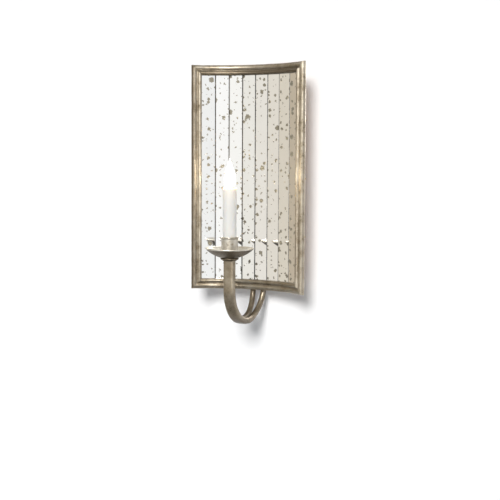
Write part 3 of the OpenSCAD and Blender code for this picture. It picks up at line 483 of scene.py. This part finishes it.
def mirror_strip(number):
    """A flat bar of glass, its front corners ground off, stood up along Z and turned to its place:
    the front lies a chord's height inside the curve. The two outer strips run on under the moulding."""
    mid = (number - (STRIPS + 1) / 2) * STRIP_T
    plain = GLASS_R * math.sin(STRIP_T / 2) - STRIP_GAP / 2
    left = -plain - (TUCK if number == 1 else 0)
    right = plain + (TUCK if number == STRIPS else 0)
    front = GLASS_R * math.cos(STRIP_T / 2)
    x = np.array([left, left, left + ARRIS, left + 0.0009, right - 0.0009, right - ARRIS, right, right])
    d = np.array([GLASS_T, ARRIS, 0, 0, 0, 0, ARRIS, GLASS_T])
    rim = np.array([1, 1, 0.9, 0, 0, 0.9, 1, 1.0])
    z = np.linspace(-GLASS_H / 2, GLASS_H / 2, 40)
    xx, zz = np.meshgrid(x, z)
    dd = np.tile(d, (len(z), 1))
    face = mid + math.radians(STRIP_TURN[number - 1])
    points = np.stack([
        front * math.sin(mid) + xx * math.cos(face) + dd * math.sin(face),
        CURVE_Y + front * math.cos(mid) - xx * math.sin(face) + dd * math.cos(face),
        zz + PANEL_Z], -1).reshape(-1, 3)
    place = np.stack([xx + number * 0.21, zz + number * 0.37, 0 * xx], -1).reshape(-1, 3)
    m, n = len(x), len(z)
    faces = grid_faces(n, m, wrap_cols=True).tolist() + [list(range(m)), list(range((n - 1) * m, n * m))]
    name = f"mirror_strip_{number}"
    return make_piece(name, points, faces, aged_mirror, "fixture", [name], crease=20.0,
                      marks={"strip_place": place, "rim": np.tile(rim, n)})


for number in range(1, STRIPS + 1):
    mirror_strip(number)


# ---------------------------------------------------------------------------------------
# Arm. One flat iron bar comes down from the collar, turns up through a half circle, and is
# split there into two round prongs that spread and rise behind the panel to the wall pan.
# All of it is leafed like the frame, and browner.
REACH, PRONG_Y = 0.1446, 0.0198
BEND_R, BEND_Y, BEND_Z = (REACH - PRONG_Y) / 2, -(REACH + PRONG_Y) / 2, -0.1374
BAR_TOP, PRONG_TOP, THREAD_TOP = -0.085, -0.075, -0.059
BAR_A, BAR_B, PRONG_R, FORK_IN, FORK_OUT = 0.0105, 0.00625, 0.0053, 0.0054, 0.0109
BAR_POWER, BAR_SIDES, PRONG_SIDES = 3.9, 64, 40
HALF_A, HALF_B = 0.00522, 0.0061
THREAD_R, THREAD_WAVE, THREAD_PITCH = 0.0047, 0.00022, 0.001
arm_leaf = leaf_material("arm leaf", (0.45, 0.39, 0.30), (0.22, 0.175, 0.115), 0.52, 0.50, 0.0006)


def oval(count, a, b, power):
    """A rounded outline: x = a |cos|^(2/power), y = b |sin|^(2/power) with their signs. Power 2 is an
    ellipse and a higher power is squarer. a, b and power may change from row to row."""
    w = np.linspace(0, 2 * math.pi, count, endpoint=False)[None, :]
    c, s = np.cos(w), np.sin(w)
    q = 2 / np.asarray(power, float).reshape(-1, 1)
    x = np.asarray(a, float).reshape(-1, 1) * np.sign(c) * np.abs(c) ** q
    y = np.asarray(b, float).reshape(-1, 1) * np.sign(s) * np.abs(s) ** q
    return x, y


def bend_rows(t):
    """Middle line of the bend at angles t from its lowest point, and the outward direction there."""
    mid = np.stack([0 * t, BEND_Y + BEND_R * np.sin(t), BEND_Z - BEND_R * np.cos(t)], -1)
    out = np.stack([0 * t, np.sin(t), -np.cos(t)], -1)
    return mid, out


def ease(s):
    """Smooth start and stop: (1 - cos(pi s)) / 2, for s held between 0 and 1."""
    return (1 - np.cos(np.pi * np.clip(s, 0, 1))) / 2


def swept(mid, across, out, x, y):
    """Rows of an outline carried along a line: point = middle + x across + y out."""
    return mid[:, None, :] + x[..., None] * across[:, None, :] + y[..., None] * out[:, None, :]


def arm_bar():
    """The bar's squarish outline runs straight down, then round the bend. Towards the fork a crease sinks
    into both faces: depth = 1 - g exp(-(x / 1.5 mm)^2), and g grows from 0 to 0.8."""
    down = np.linspace(BAR_TOP, BEND_Z, 26)[:-1]
    t = np.linspace(-math.pi / 2, math.radians(7), 90)
    mid_a = np.stack([0 * down, 0 * down - REACH, down], -1)
    out_a = np.tile([0.0, -1.0, 0.0], (len(down), 1))
    mid_b, out_b = bend_rows(t)
    mid, out = np.concatenate([mid_a, mid_b]), np.concatenate([out_a, out_b])
    angle = np.concatenate([0 * down - math.pi / 2, t])
    across = np.tile([1.0, 0.0, 0.0], (len(mid), 1))
    rows = len(mid)
    x, y = oval(BAR_SIDES, np.full(rows, BAR_A), np.full(rows, BAR_B), np.full(rows, BAR_POWER))
    g = 0.8 * ease((angle - math.radians(-14)) / math.radians(21))[:, None]
    crease = g * np.exp(-((x / 0.0015) ** 2))
    y = y * (1 - crease)
    along = np.arange(rows)[:, None] * 0.0018
    grow = 1 + hand(along, np.arctan2(y, x) * 0.05, 0.014)
    points = swept(mid, across, out, x * (0.99 * grow), y * (0.99 * grow)).reshape(-1, 3)
    faces = grid_faces(rows, BAR_SIDES, wrap_cols=True).tolist()
    faces += [list(range(BAR_SIDES)), list(range((rows - 1) * BAR_SIDES, rows * BAR_SIDES))]
    # Painted shade: the hollow mark darkens the crease at the fork and, most of all, the lower part of the bend on its
    # underside; proud is held low and even.
    low = 2.2 * ease((angle - math.radians(-75)) / math.radians(60))[:, None]
    hollow = np.maximum(crease * 1.2, low * (0.55 + 0.45 * np.sin(np.arctan2(y, x))))
    return make_piece("arm_bar", points, faces, arm_leaf, "fixture", ["arm_bar"],
                      marks={"hollow": hollow.ravel(), "proud": np.full(crease.size, 0.2)})


def prong(name, side):
    """Half of the bar's outline at the fork turns into a circle as it rises: its width, depth and power
    ease from the half bar's to the round's. Its line swings outwards by an eased share of the spread.
    Above the pan's floor it is a thread, whose radius goes up and down once every millimetre."""
    t = np.radians(np.linspace(1, 90, 90))
    s = (t - math.radians(6)) / math.radians(84)
    mid_a, out_a = bend_rows(t)
    mid_a[:, 0] = side * (FORK_IN + (FORK_OUT - FORK_IN) * ease(s))
    up = np.concatenate([np.linspace(BEND_Z + 0.002, PRONG_TOP, 30), np.linspace(PRONG_TOP, THREAD_TOP, 97)])
    mid_b = np.stack([0 * up + side * FORK_OUT, 0 * up - PRONG_Y, up], -1)
    mid = np.concatenate([mid_a, mid_b])
    out = np.concatenate([out_a, np.tile([0.0, 1.0, 0.0], (len(up), 1))])
    run = np.gradient(mid, axis=0)
    run[-len(up):] = [0.0, 0.0, 1.0]
    run /= np.linalg.norm(run, axis=1)[:, None]
    across = np.cross(out, run)
    across *= np.sign(across[:, :1])
    across /= np.linalg.norm(across, axis=1)[:, None]
    m = np.concatenate([ease((t - math.radians(4)) / math.radians(36)), 0 * up + 1])
    size = np.concatenate([0 * t + 1, np.where(np.arange(len(up)) < 30, 1.0,
                           (THREAD_R + THREAD_WAVE * np.cos(2 * math.pi * up / THREAD_PITCH)) / PRONG_R)])
    x, y = oval(PRONG_SIDES, (HALF_A + m * (PRONG_R - HALF_A)) * size, (HALF_B + m * (PRONG_R - HALF_B)) * size,
                3.8 - 1.8 * m)
    along = np.arange(len(mid))[:, None] * 0.0016
    grow = 1 + hand(along + side, np.arctan2(y, x) * 0.05, 0.016) * (along < 0.19)
    points = swept(mid, across, out, x * (0.992 * grow), y * (0.992 * grow)).reshape(-1, 3)
    rows = len(mid)
    faces = grid_faces(rows, PRONG_SIDES, wrap_cols=True).tolist()
    faces += [list(range(PRONG_SIDES)), list(range((rows - 1) * PRONG_SIDES, rows * PRONG_SIDES))]
    # Painted shade: the prongs are darkened throughout, and most on the faces where they part from the bar; proud is
    # held low and even.
    near = np.exp(-((x * side + 0.0053) / 0.0016) ** 2) * (1 - m)[:, None]
    return make_piece(name, points, faces, arm_leaf, "fixture", [name],
                      marks={"hollow": np.maximum(near, 0.8).ravel(), "proud": np.full(near.size, 0.2)})


arm_bar()
prong("left_prong", -1)
prong("right_prong", 1)


# ---------------------------------------------------------------------------------------
# Collar, drip pan and candle cup. Three turned and spun metal pieces are threaded on one
# nipple above the arm: a squat round collar, a shallow dish with a rolled rim, and a plain
# cup with a small rolled edge. Painted shade makes the leaf on them darker underneath than inside.
SEAT_Z, BORE_R = -0.0792, 0.0051
pan_leaf = leaf_material("pan leaf", (0.80, 0.77, 0.70), (0.50, 0.44, 0.34), 0.34, 0.32, 0.0004)
cup_leaf = leaf_material("cup leaf", (0.72, 0.70, 0.66), (0.44, 0.38, 0.28), 0.36, 0.34, 0.0004)


def turned(name, outline, mat, body, nodes, steps=144, sway=0.0, closed=True, hollow=None):
    """An outline of (radius, height) turned about the candle's axis: x = r cos w, y = r sin w - reach. sway
    lets the height wander a little round the turn. An open outline ends on the axis at both ends. hollow is
    painted shade at each point of the outline."""
    out = np.asarray(outline, float)
    w = np.linspace(0, 2 * math.pi, steps, endpoint=False)[:, None]
    r, z = out[:, 0][None, :] + 0 * w, out[:, 1][None, :] + 0 * w
    z = z + sway * np.sin(2 * w + 0.6) * (r / out[:, 0].max()) ** 2
    points = np.stack([r * np.cos(w), r * np.sin(w) - REACH, z], -1).reshape(-1, 3)
    m = len(out)
    faces = grid_faces(steps, m, wrap_rows=True, wrap_cols=closed)
    hollow = np.zeros(m) if hollow is None else np.asarray(hollow, float)
    return make_piece(name, points, faces, mat, body, nodes, crease=50.0,
                      marks={"hollow": np.tile(hollow, steps), "proud": np.zeros(m * steps)})


def smooth_line(points, count):
    """Points evenly along a Catmull-Rom curve through the given points."""
    p = np.asarray(points, float)
    p = np.concatenate([2 * p[:1] - p[1:2], p, 2 * p[-1:] - p[-2:-1]])
    u = np.linspace(0, len(p) - 3 - 1e-9, count)
    i = u.astype(int)
    f = (u - i)[:, None]
    a, b, c, d = p[i], p[i + 1], p[i + 2], p[i + 3]
    return 0.5 * (2 * b + (c - a) * f + (2 * a - 5 * b + 4 * c - d) * f ** 2 + (3 * b - a - 3 * c + d) * f ** 3)


collar_side = np.concatenate([
    [[0.0100, -0.0850], [0.0122, -0.0850], [0.0126, -0.08465]],
    [[0.0127, -0.0838]], arc(0.01427, -0.08117, 0.00203, -115, 80, 26), [[0.0140, -0.0792], [0.0051, -0.0792]],
    [[0.0051, -0.0850]]])
# Painted shade: the collar, under the drip pan, is darkened all over, and most in the crease under its round top.
turned("collar", collar_side, arm_leaf, "fixture", ["collar"],
       hollow=np.maximum(1.25, 1.6 * np.exp(-((collar_side[:, 1] + 0.0838) / 0.0007) ** 2)))

DISH_R, DISH_T, RIM_R, DISH_H, FOOT_R = 0.0436, 0.0016, 0.00125, 0.017, 0.0165
dish_fall = DISH_H - 2 * RIM_R
dish_mid = ((DISH_R - RIM_R) ** 2 - FOOT_R ** 2 + dish_fall ** 2) / (2 * dish_fall)
dish_ball = math.hypot(dish_mid, FOOT_R)
bowl_r = np.linspace(FOOT_R, DISH_R - RIM_R - 0.0002, 44)
under = np.stack([bowl_r, SEAT_Z + dish_mid - np.sqrt(dish_ball ** 2 - bowl_r ** 2)], -1)
above_r = np.linspace(DISH_R - RIM_R - 0.0006, FOOT_R, 44)
above = np.stack([above_r, SEAT_Z + dish_mid - np.sqrt((dish_ball - DISH_T) ** 2 - above_r ** 2)], -1)
rolled = arc(DISH_R - RIM_R, SEAT_Z + DISH_H - RIM_R, RIM_R, -62, 190, 26)
dish = np.concatenate([[[BORE_R, SEAT_Z], [0.0160, SEAT_Z]], under, rolled, above,
                       [[0.0150, SEAT_Z + DISH_T], [BORE_R, SEAT_Z + DISH_T]]])
# Painted shade: darker round the foot and over the whole underside.
painted_shade = np.exp(-((dish[:, 0] - FOOT_R) / 0.003) ** 2) * 0.8
painted_shade = np.maximum(painted_shade, 1.75 * (np.arange(len(dish)) < 46))
turned("drip_pan", dish, pan_leaf, "fixture", ["drip_pan"], sway=0.00022, hollow=painted_shade)

CUP_R, CUP_T, CUP_H, ROLL_R = 0.0150, 0.0015, 0.0354, 0.0016
cup_z = SEAT_Z + DISH_T
cup_side = np.concatenate([
    [[BORE_R, cup_z], [0.0118, cup_z]], arc(CUP_R - 0.003, cup_z + 0.003, 0.003, -88, 0, 10),
    smooth_line([[CUP_R, cup_z + 0.0036], [CUP_R - 0.0001, cup_z + 0.012], [CUP_R, cup_z + 0.024],
                 [CUP_R, cup_z + CUP_H - 0.0034]], 30),
    arc(CUP_R - 0.0003, cup_z + CUP_H - ROLL_R, ROLL_R, -75, 140, 22),
    [[CUP_R - CUP_T, cup_z + CUP_H - 0.0022], [CUP_R - CUP_T, cup_z + 0.004], [CUP_R - CUP_T, cup_z + 0.0021],
     [BORE_R, cup_z + 0.0020]]])
# Painted shade: a dark band just under the rolled edge and round the cup's foot.
cup_shade = np.exp(-((cup_side[:, 1] - cup_z - CUP_H + 0.0036) / 0.0007) ** 2) * (cup_side[:, 0] < 0.0154)
cup_shade = np.maximum(cup_shade, 0.7 * np.exp(-((cup_side[:, 1] - cup_z) / 0.0018) ** 2))
turned("candle_cup", cup_side, cup_leaf, "fixture", ["candle_cup"], hollow=cup_shade)


# ---------------------------------------------------------------------------------------
# Candle sleeve. A tube of milky white card and resin hides the socket. It is slightly
# uneven, like wax, and its top end is painted with a faint warm glow, as if the lamp above
# shone through it. It lifts off.
SLEEVE_LOW, SLEEVE_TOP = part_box("candle_sleeve")[0].z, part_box("candle_sleeve")[1].z
SLEEVE_R, SLEEVE_BORE = 0.0123, 0.0110


def sleeve_material():
    """Milky satin resin: a pale wander of colour, faint drips in the bump, and a painted warm glow near the top."""
    mat, tree = new_material("candle sleeve")
    where = add(tree, "ShaderNodeTexCoord")
    stretch = add(tree, "ShaderNodeMapping", {"Vector": where.outputs["Object"], "Scale": (1.0, 1.0, 0.22)})
    wander = add(tree, "ShaderNodeTexNoise", {"Vector": stretch.outputs[0], "Scale": 90.0, "Detail": 4.0})
    tone = add(tree, "ShaderNodeMix", {0: wander.outputs[0], 6: (0.86, 0.835, 0.79, 1), 7: (0.79, 0.755, 0.70, 1)},
               data_type="RGBA")
    parts = add(tree, "ShaderNodeSeparateXYZ", {0: where.outputs["Object"]})
    # Painted glow: a faint warm emission rising over the top 45 mm to a bright orange line at the rim.
    lit = add(tree, "ShaderNodeMapRange", {0: parts.outputs[2], 1: SLEEVE_TOP - 0.045, 2: SLEEVE_TOP, 3: 0.0, 4: 1.0},
              interpolation_type="SMOOTHSTEP")
    warm = add(tree, "ShaderNodeValToRGB", {0: lit.outputs[0]})
    warm.color_ramp.elements[0].color = (0, 0, 0, 1)
    warm.color_ramp.elements[1].color = (0.95, 0.50, 0.13, 1)
    for place, glow in ((0.6, (0.05, 0.035, 0.02, 1)), (0.989, (0.13, 0.09, 0.05, 1)), (0.995, (0.80, 0.42, 0.12, 1))):
        warm.color_ramp.elements.new(place).color = glow
    bump = add(tree, "ShaderNodeBump", {"Strength": 0.35, "Distance": 0.0005, "Height": wander.outputs[0]})
    rough = add(tree, "ShaderNodeMapRange", {0: wander.outputs[0], 1: 0.3, 2: 0.7, 3: 0.34, 4: 0.48})
    skin = add(tree, "ShaderNodeBsdfPrincipled", {
        "Base Color": tone.outputs[2], "Roughness": rough.outputs[0], "Normal": bump.outputs[0],
        "Subsurface Weight": 0.25, "Subsurface Scale": 0.004, "Emission Color": warm.outputs[0],
        "Emission Strength": 0.9})
    skin.inputs["Subsurface Radius"].default_value = (1.0, 0.7, 0.45)
    add(tree, "ShaderNodeOutputMaterial", {"Surface": skin.outputs[0]})
    return mat


long = SLEEVE_TOP - SLEEVE_LOW
sleeve_side = np.concatenate([
    smooth_line([[SLEEVE_R - 0.0004, SLEEVE_LOW], [SLEEVE_R - 0.0001, SLEEVE_LOW + 0.001],
                 [SLEEVE_R, SLEEVE_LOW + 0.3 * long], [SLEEVE_R - 0.00005, SLEEVE_LOW + 0.6 * long],
                 [SLEEVE_R, SLEEVE_TOP - 0.003], [SLEEVE_R - 0.0001, SLEEVE_TOP - 0.0008]], 60),
    arc(SLEEVE_R - 0.00075, SLEEVE_TOP - 0.00075, 0.00075, 20, 160, 14),
    [[SLEEVE_BORE, SLEEVE_TOP - 0.002], [SLEEVE_BORE, SLEEVE_LOW + 0.002], [SLEEVE_BORE, SLEEVE_LOW]]])
turned("candle_sleeve", sleeve_side, sleeve_material(), "sleeve", ["candle_sleeve"])


# ---------------------------------------------------------------------------------------
# Bulb. A flame-tip bulb of thin clear glass, drawn out to a point, burns on a hairpin
# filament. Its brass cap flares just above the sleeve.
GLASS_LOW, GLASS_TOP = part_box("bulb_glass")[0].z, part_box("bulb_glass")[1].z


def bulb_material():
    """Clear glass around a white-hot lamp: it shines a warm white, strongest low down by the filament."""
    mat, tree = new_material("lit glass")
    where = add(tree, "ShaderNodeTexCoord")
    parts = add(tree, "ShaderNodeSeparateXYZ", {0: where.outputs["Object"]})
    high = add(tree, "ShaderNodeMapRange", {0: parts.outputs[2], 1: GLASS_LOW, 2: GLASS_TOP, 3: 0.0, 4: 1.0})
    glow = add(tree, "ShaderNodeValToRGB", {0: high.outputs[0]})
    stops = glow.color_ramp.elements
    stops[0].position, stops[0].color = 0.0, (0.95, 0.62, 0.30, 1)
    stops[1].position, stops[1].color = 1.0, (0.80, 0.76, 0.66, 1)
    for place, tone in ((0.14, (1.0, 0.90, 0.66, 1)), (0.35, (1.0, 0.98, 0.9, 1)), (0.7, (1.0, 0.96, 0.88, 1))):
        stops.new(place).color = tone
    swirl = add(tree, "ShaderNodeTexNoise", {"Vector": where.outputs["Object"], "Scale": 140.0, "Detail": 2.0})
    bump = add(tree, "ShaderNodeBump", {"Strength": 0.15, "Distance": 0.0004, "Height": swirl.outputs[0]})
    skin = add(tree, "ShaderNodeBsdfPrincipled", {
        "Base Color": (1, 1, 1, 1), "Roughness": 0.04, "IOR": 1.45, "Transmission Weight": 0.9,
        "Emission Color": glow.outputs[0], "Emission Strength": 0.95, "Normal": bump.outputs[0]})
    add(tree, "ShaderNodeOutputMaterial", {"Surface": skin.outputs[0]})
    return mat


def glass_outline():
    """Flame outline from the neck up: radius = neck, then a quarter sine out to the belly, then belly times
    a power of a falling cosine to the tip."""
    s = np.linspace(0, 1, 70)
    neck, belly, wide = 0.0078, 0.0097, 0.27
    neck_s = 0.0024 / (GLASS_TOP - GLASS_LOW)
    rise = neck + (belly - neck) * np.sin(np.pi / 2 * np.clip((s - neck_s) / (wide - neck_s), 0, 1))
    fall = belly * (0.075 + 0.925 * np.cos(np.pi / 2 * np.clip((s - wide) / (1 - wide), 0, 1)) ** 1.25)
    r = np.where(s < wide, rise, fall)
    z = GLASS_LOW + (GLASS_TOP - GLASS_LOW) * s
    return np.stack([np.maximum(r, 0.00003), z], -1)


foot = np.stack([np.linspace(0.00003, 0.0074, 8), np.full(8, GLASS_LOW)], -1)
outer_glass = np.concatenate([foot, glass_outline()[1:], [[0.0, GLASS_TOP]]])
outer_glass[0, 0] = 0.0
bulb_glass = turned("bulb_glass", outer_glass, bulb_material(), "bulb", ["bulb_glass"], steps=72,
                    closed=False)
bulb_glass.visible_shadow = False
glow_lamp = bpy.data.lights.new("bulb light", "POINT")
glow_lamp.energy = 0.16
glow_lamp.color = (1.0, 0.86, 0.66)
glow_lamp.shadow_soft_size = 0.006
glow = bpy.data.objects.new("bulb light", glow_lamp)
glow.location = (0, -REACH, GLASS_LOW + 0.02)
scene.collection.objects.link(glow)


# ---------------------------------------------------------------------------------------
# Plain metal, plastic and wood parts. The strap, pan, screws, nuts, socket, wires, board and
# saddles keep their machined shapes and get their own finishes.
def handled_group():
    """Light handling marks: wide and fine noise move a colour between two tones and give roughness and
    height to match."""
    group = bpy.data.node_groups.new("handled", "ShaderNodeTree")
    face = group.interface
    face.new_socket("Vector", in_out="INPUT", socket_type="NodeSocketVector")
    for name in ("Light", "Dark"):
        face.new_socket(name, in_out="INPUT", socket_type="NodeSocketColor")
    for name in ("Rough low", "Rough high"):
        face.new_socket(name, in_out="INPUT", socket_type="NodeSocketFloat")
    face.new_socket("Color", in_out="OUTPUT", socket_type="NodeSocketColor")
    for name in ("Roughness", "Height"):
        face.new_socket(name, in_out="OUTPUT", socket_type="NodeSocketFloat")
    get = add(group, "NodeGroupInput").outputs
    wide = add(group, "ShaderNodeTexNoise", {"Vector": get[0], "Scale": 70.0, "Detail": 5.0, "Roughness": 0.6})
    fine = add(group, "ShaderNodeTexNoise", {"Vector": get[0], "Scale": 900.0, "Detail": 3.0, "Roughness": 0.6})
    both = add(group, "ShaderNodeMath", {0: wide.outputs[0], 1: 0.65}, operation="MULTIPLY")
    both = add(group, "ShaderNodeMath", {0: fine.outputs[0], 1: 0.35, 2: both.outputs[0]}, operation="MULTIPLY_ADD")
    mask = add(group, "ShaderNodeMapRange", {0: both.outputs[0], 1: 0.36, 2: 0.64}, interpolation_type="SMOOTHSTEP")
    tone = add(group, "ShaderNodeMix", {0: mask.outputs[0], 6: get[1], 7: get[2]}, data_type="RGBA")
    rough = add(group, "ShaderNodeMapRange", {0: mask.outputs[0], 1: 0.0, 2: 1.0, 3: get[3], 4: get[4]})
    add(group, "NodeGroupOutput", {0: tone.outputs[2], 1: rough.outputs[0], 2: both.outputs[0]})
    return group


HANDLED = handled_group()


def plain_material(name, light, dark, rough, metal, depth, stretch=(1, 1, 1), coat=0.0):
    """A metal, plastic or wood finish from the handling marks, drawn out along an axis where it has a grain."""
    mat, tree = new_material(name)
    where = add(tree, "ShaderNodeTexCoord")
    drawn = add(tree, "ShaderNodeMapping", {"Vector": where.outputs["Object"], "Scale": stretch})
    marks = add(tree, "ShaderNodeGroup", node_tree=HANDLED)
    tree.links.new(drawn.outputs[0], marks.inputs["Vector"])
    marks.inputs["Light"].default_value = (*light, 1)
    marks.inputs["Dark"].default_value = (*dark, 1)
    marks.inputs["Rough low"].default_value = rough[0]
    marks.inputs["Rough high"].default_value = rough[1]
    bump = add(tree, "ShaderNodeBump", {"Strength": 0.5, "Distance": depth, "Height": marks.outputs["Height"]})
    skin = add(tree, "ShaderNodeBsdfPrincipled", {
        "Base Color": marks.outputs["Color"], "Roughness": marks.outputs["Roughness"], "Metallic": metal,
        "Coat Weight": coat, "Normal": bump.outputs[0]})
    add(tree, "ShaderNodeOutputMaterial", {"Surface": skin.outputs[0]})
    return mat


zinc = plain_material("zinc plate", (0.72, 0.73, 0.74), (0.55, 0.56, 0.56), (0.28, 0.42), 1.0, 0.0001)
brass = plain_material("brass", (0.83, 0.64, 0.32), (0.66, 0.47, 0.21), (0.18, 0.34), 1.0, 0.00008)
pan_paint = plain_material("pan paint", (0.50, 0.45, 0.36), (0.40, 0.35, 0.27), (0.38, 0.5), 0.55, 0.0002)
bare_wood = plain_material("bare wood", (0.62, 0.46, 0.29), (0.43, 0.29, 0.16), (0.6, 0.8), 0.0, 0.0004, (0.06, 1, 1))
hardboard = plain_material("hardboard", (0.34, 0.22, 0.13), (0.23, 0.14, 0.08), (0.62, 0.82), 0.0, 0.0003)
socket_mould = plain_material("socket moulding", (0.035, 0.03, 0.028), (0.06, 0.05, 0.045), (0.25, 0.4), 0.0, 0.0001,
                              coat=0.2)
green_paint = plain_material("ground screw green", (0.05, 0.30, 0.11), (0.03, 0.2, 0.07), (0.25, 0.4), 0.3, 0.0001)
black_skin = plain_material("black wire", (0.03, 0.03, 0.032), (0.05, 0.05, 0.052), (0.4, 0.5), 0.0, 0.0001)
white_skin = plain_material("white wire", (0.80, 0.80, 0.77), (0.70, 0.69, 0.66), (0.4, 0.5), 0.0, 0.0001)
nut_skin = plain_material("wire nut", (0.72, 0.24, 0.05), (0.58, 0.17, 0.03), (0.3, 0.42), 0.0, 0.0002)
stem_glass = plain_material("stem glass", (0.90, 0.92, 0.92), (0.82, 0.85, 0.86), (0.1, 0.2), 0.0, 0.00005, coat=0.3)


def hot_wire():
    """A filament at white heat."""
    mat, tree = new_material("hot filament")
    where = add(tree, "ShaderNodeTexCoord")
    flow = add(tree, "ShaderNodeTexNoise", {"Vector": where.outputs["Object"], "Scale": 400.0})
    heat = add(tree, "ShaderNodeMix", {0: flow.outputs[0], 6: (1.0, 0.78, 0.42, 1), 7: (1.0, 0.62, 0.28, 1)},
               data_type="RGBA")
    skin = add(tree, "ShaderNodeBsdfPrincipled", {
        "Base Color": heat.outputs[2], "Roughness": 0.5, "Emission Color": heat.outputs[2], "Emission Strength": 3.0})
    add(tree, "ShaderNodeOutputMaterial", {"Surface": skin.outputs[0]})
    return mat


finishes = {
    "backing_board": hardboard, "retaining_clips": zinc, "clip_screws": brass, "upper_saddle": bare_wood,
    "lower_saddle": bare_wood, "saddle_screws": zinc, "wall_pan": pan_paint, "mounting_strap": zinc,
    "side_screws": brass, "ground_screw": green_paint, "prong_nuts": brass, "cup_nipple": brass, "cup_nut": brass,
    "socket_bracket": zinc, "bracket_rivet": brass, "socket_body": socket_mould, "socket_shell": brass,
    "socket_contact": brass, "bulb_cap": brass, "bulb_insulator": socket_mould, "bulb_stem": stem_glass,
    "filament": hot_wire(), "hot_lead": black_skin, "neutral_lead": white_skin, "wire_nuts": nut_skin,
}
for node, finish in finishes.items():
    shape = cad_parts[node]
    shape.data.materials.clear()
    shape.data.materials.append(finish)
for node in ("bulb_stem", "filament"):
    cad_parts[node].visible_shadow = False
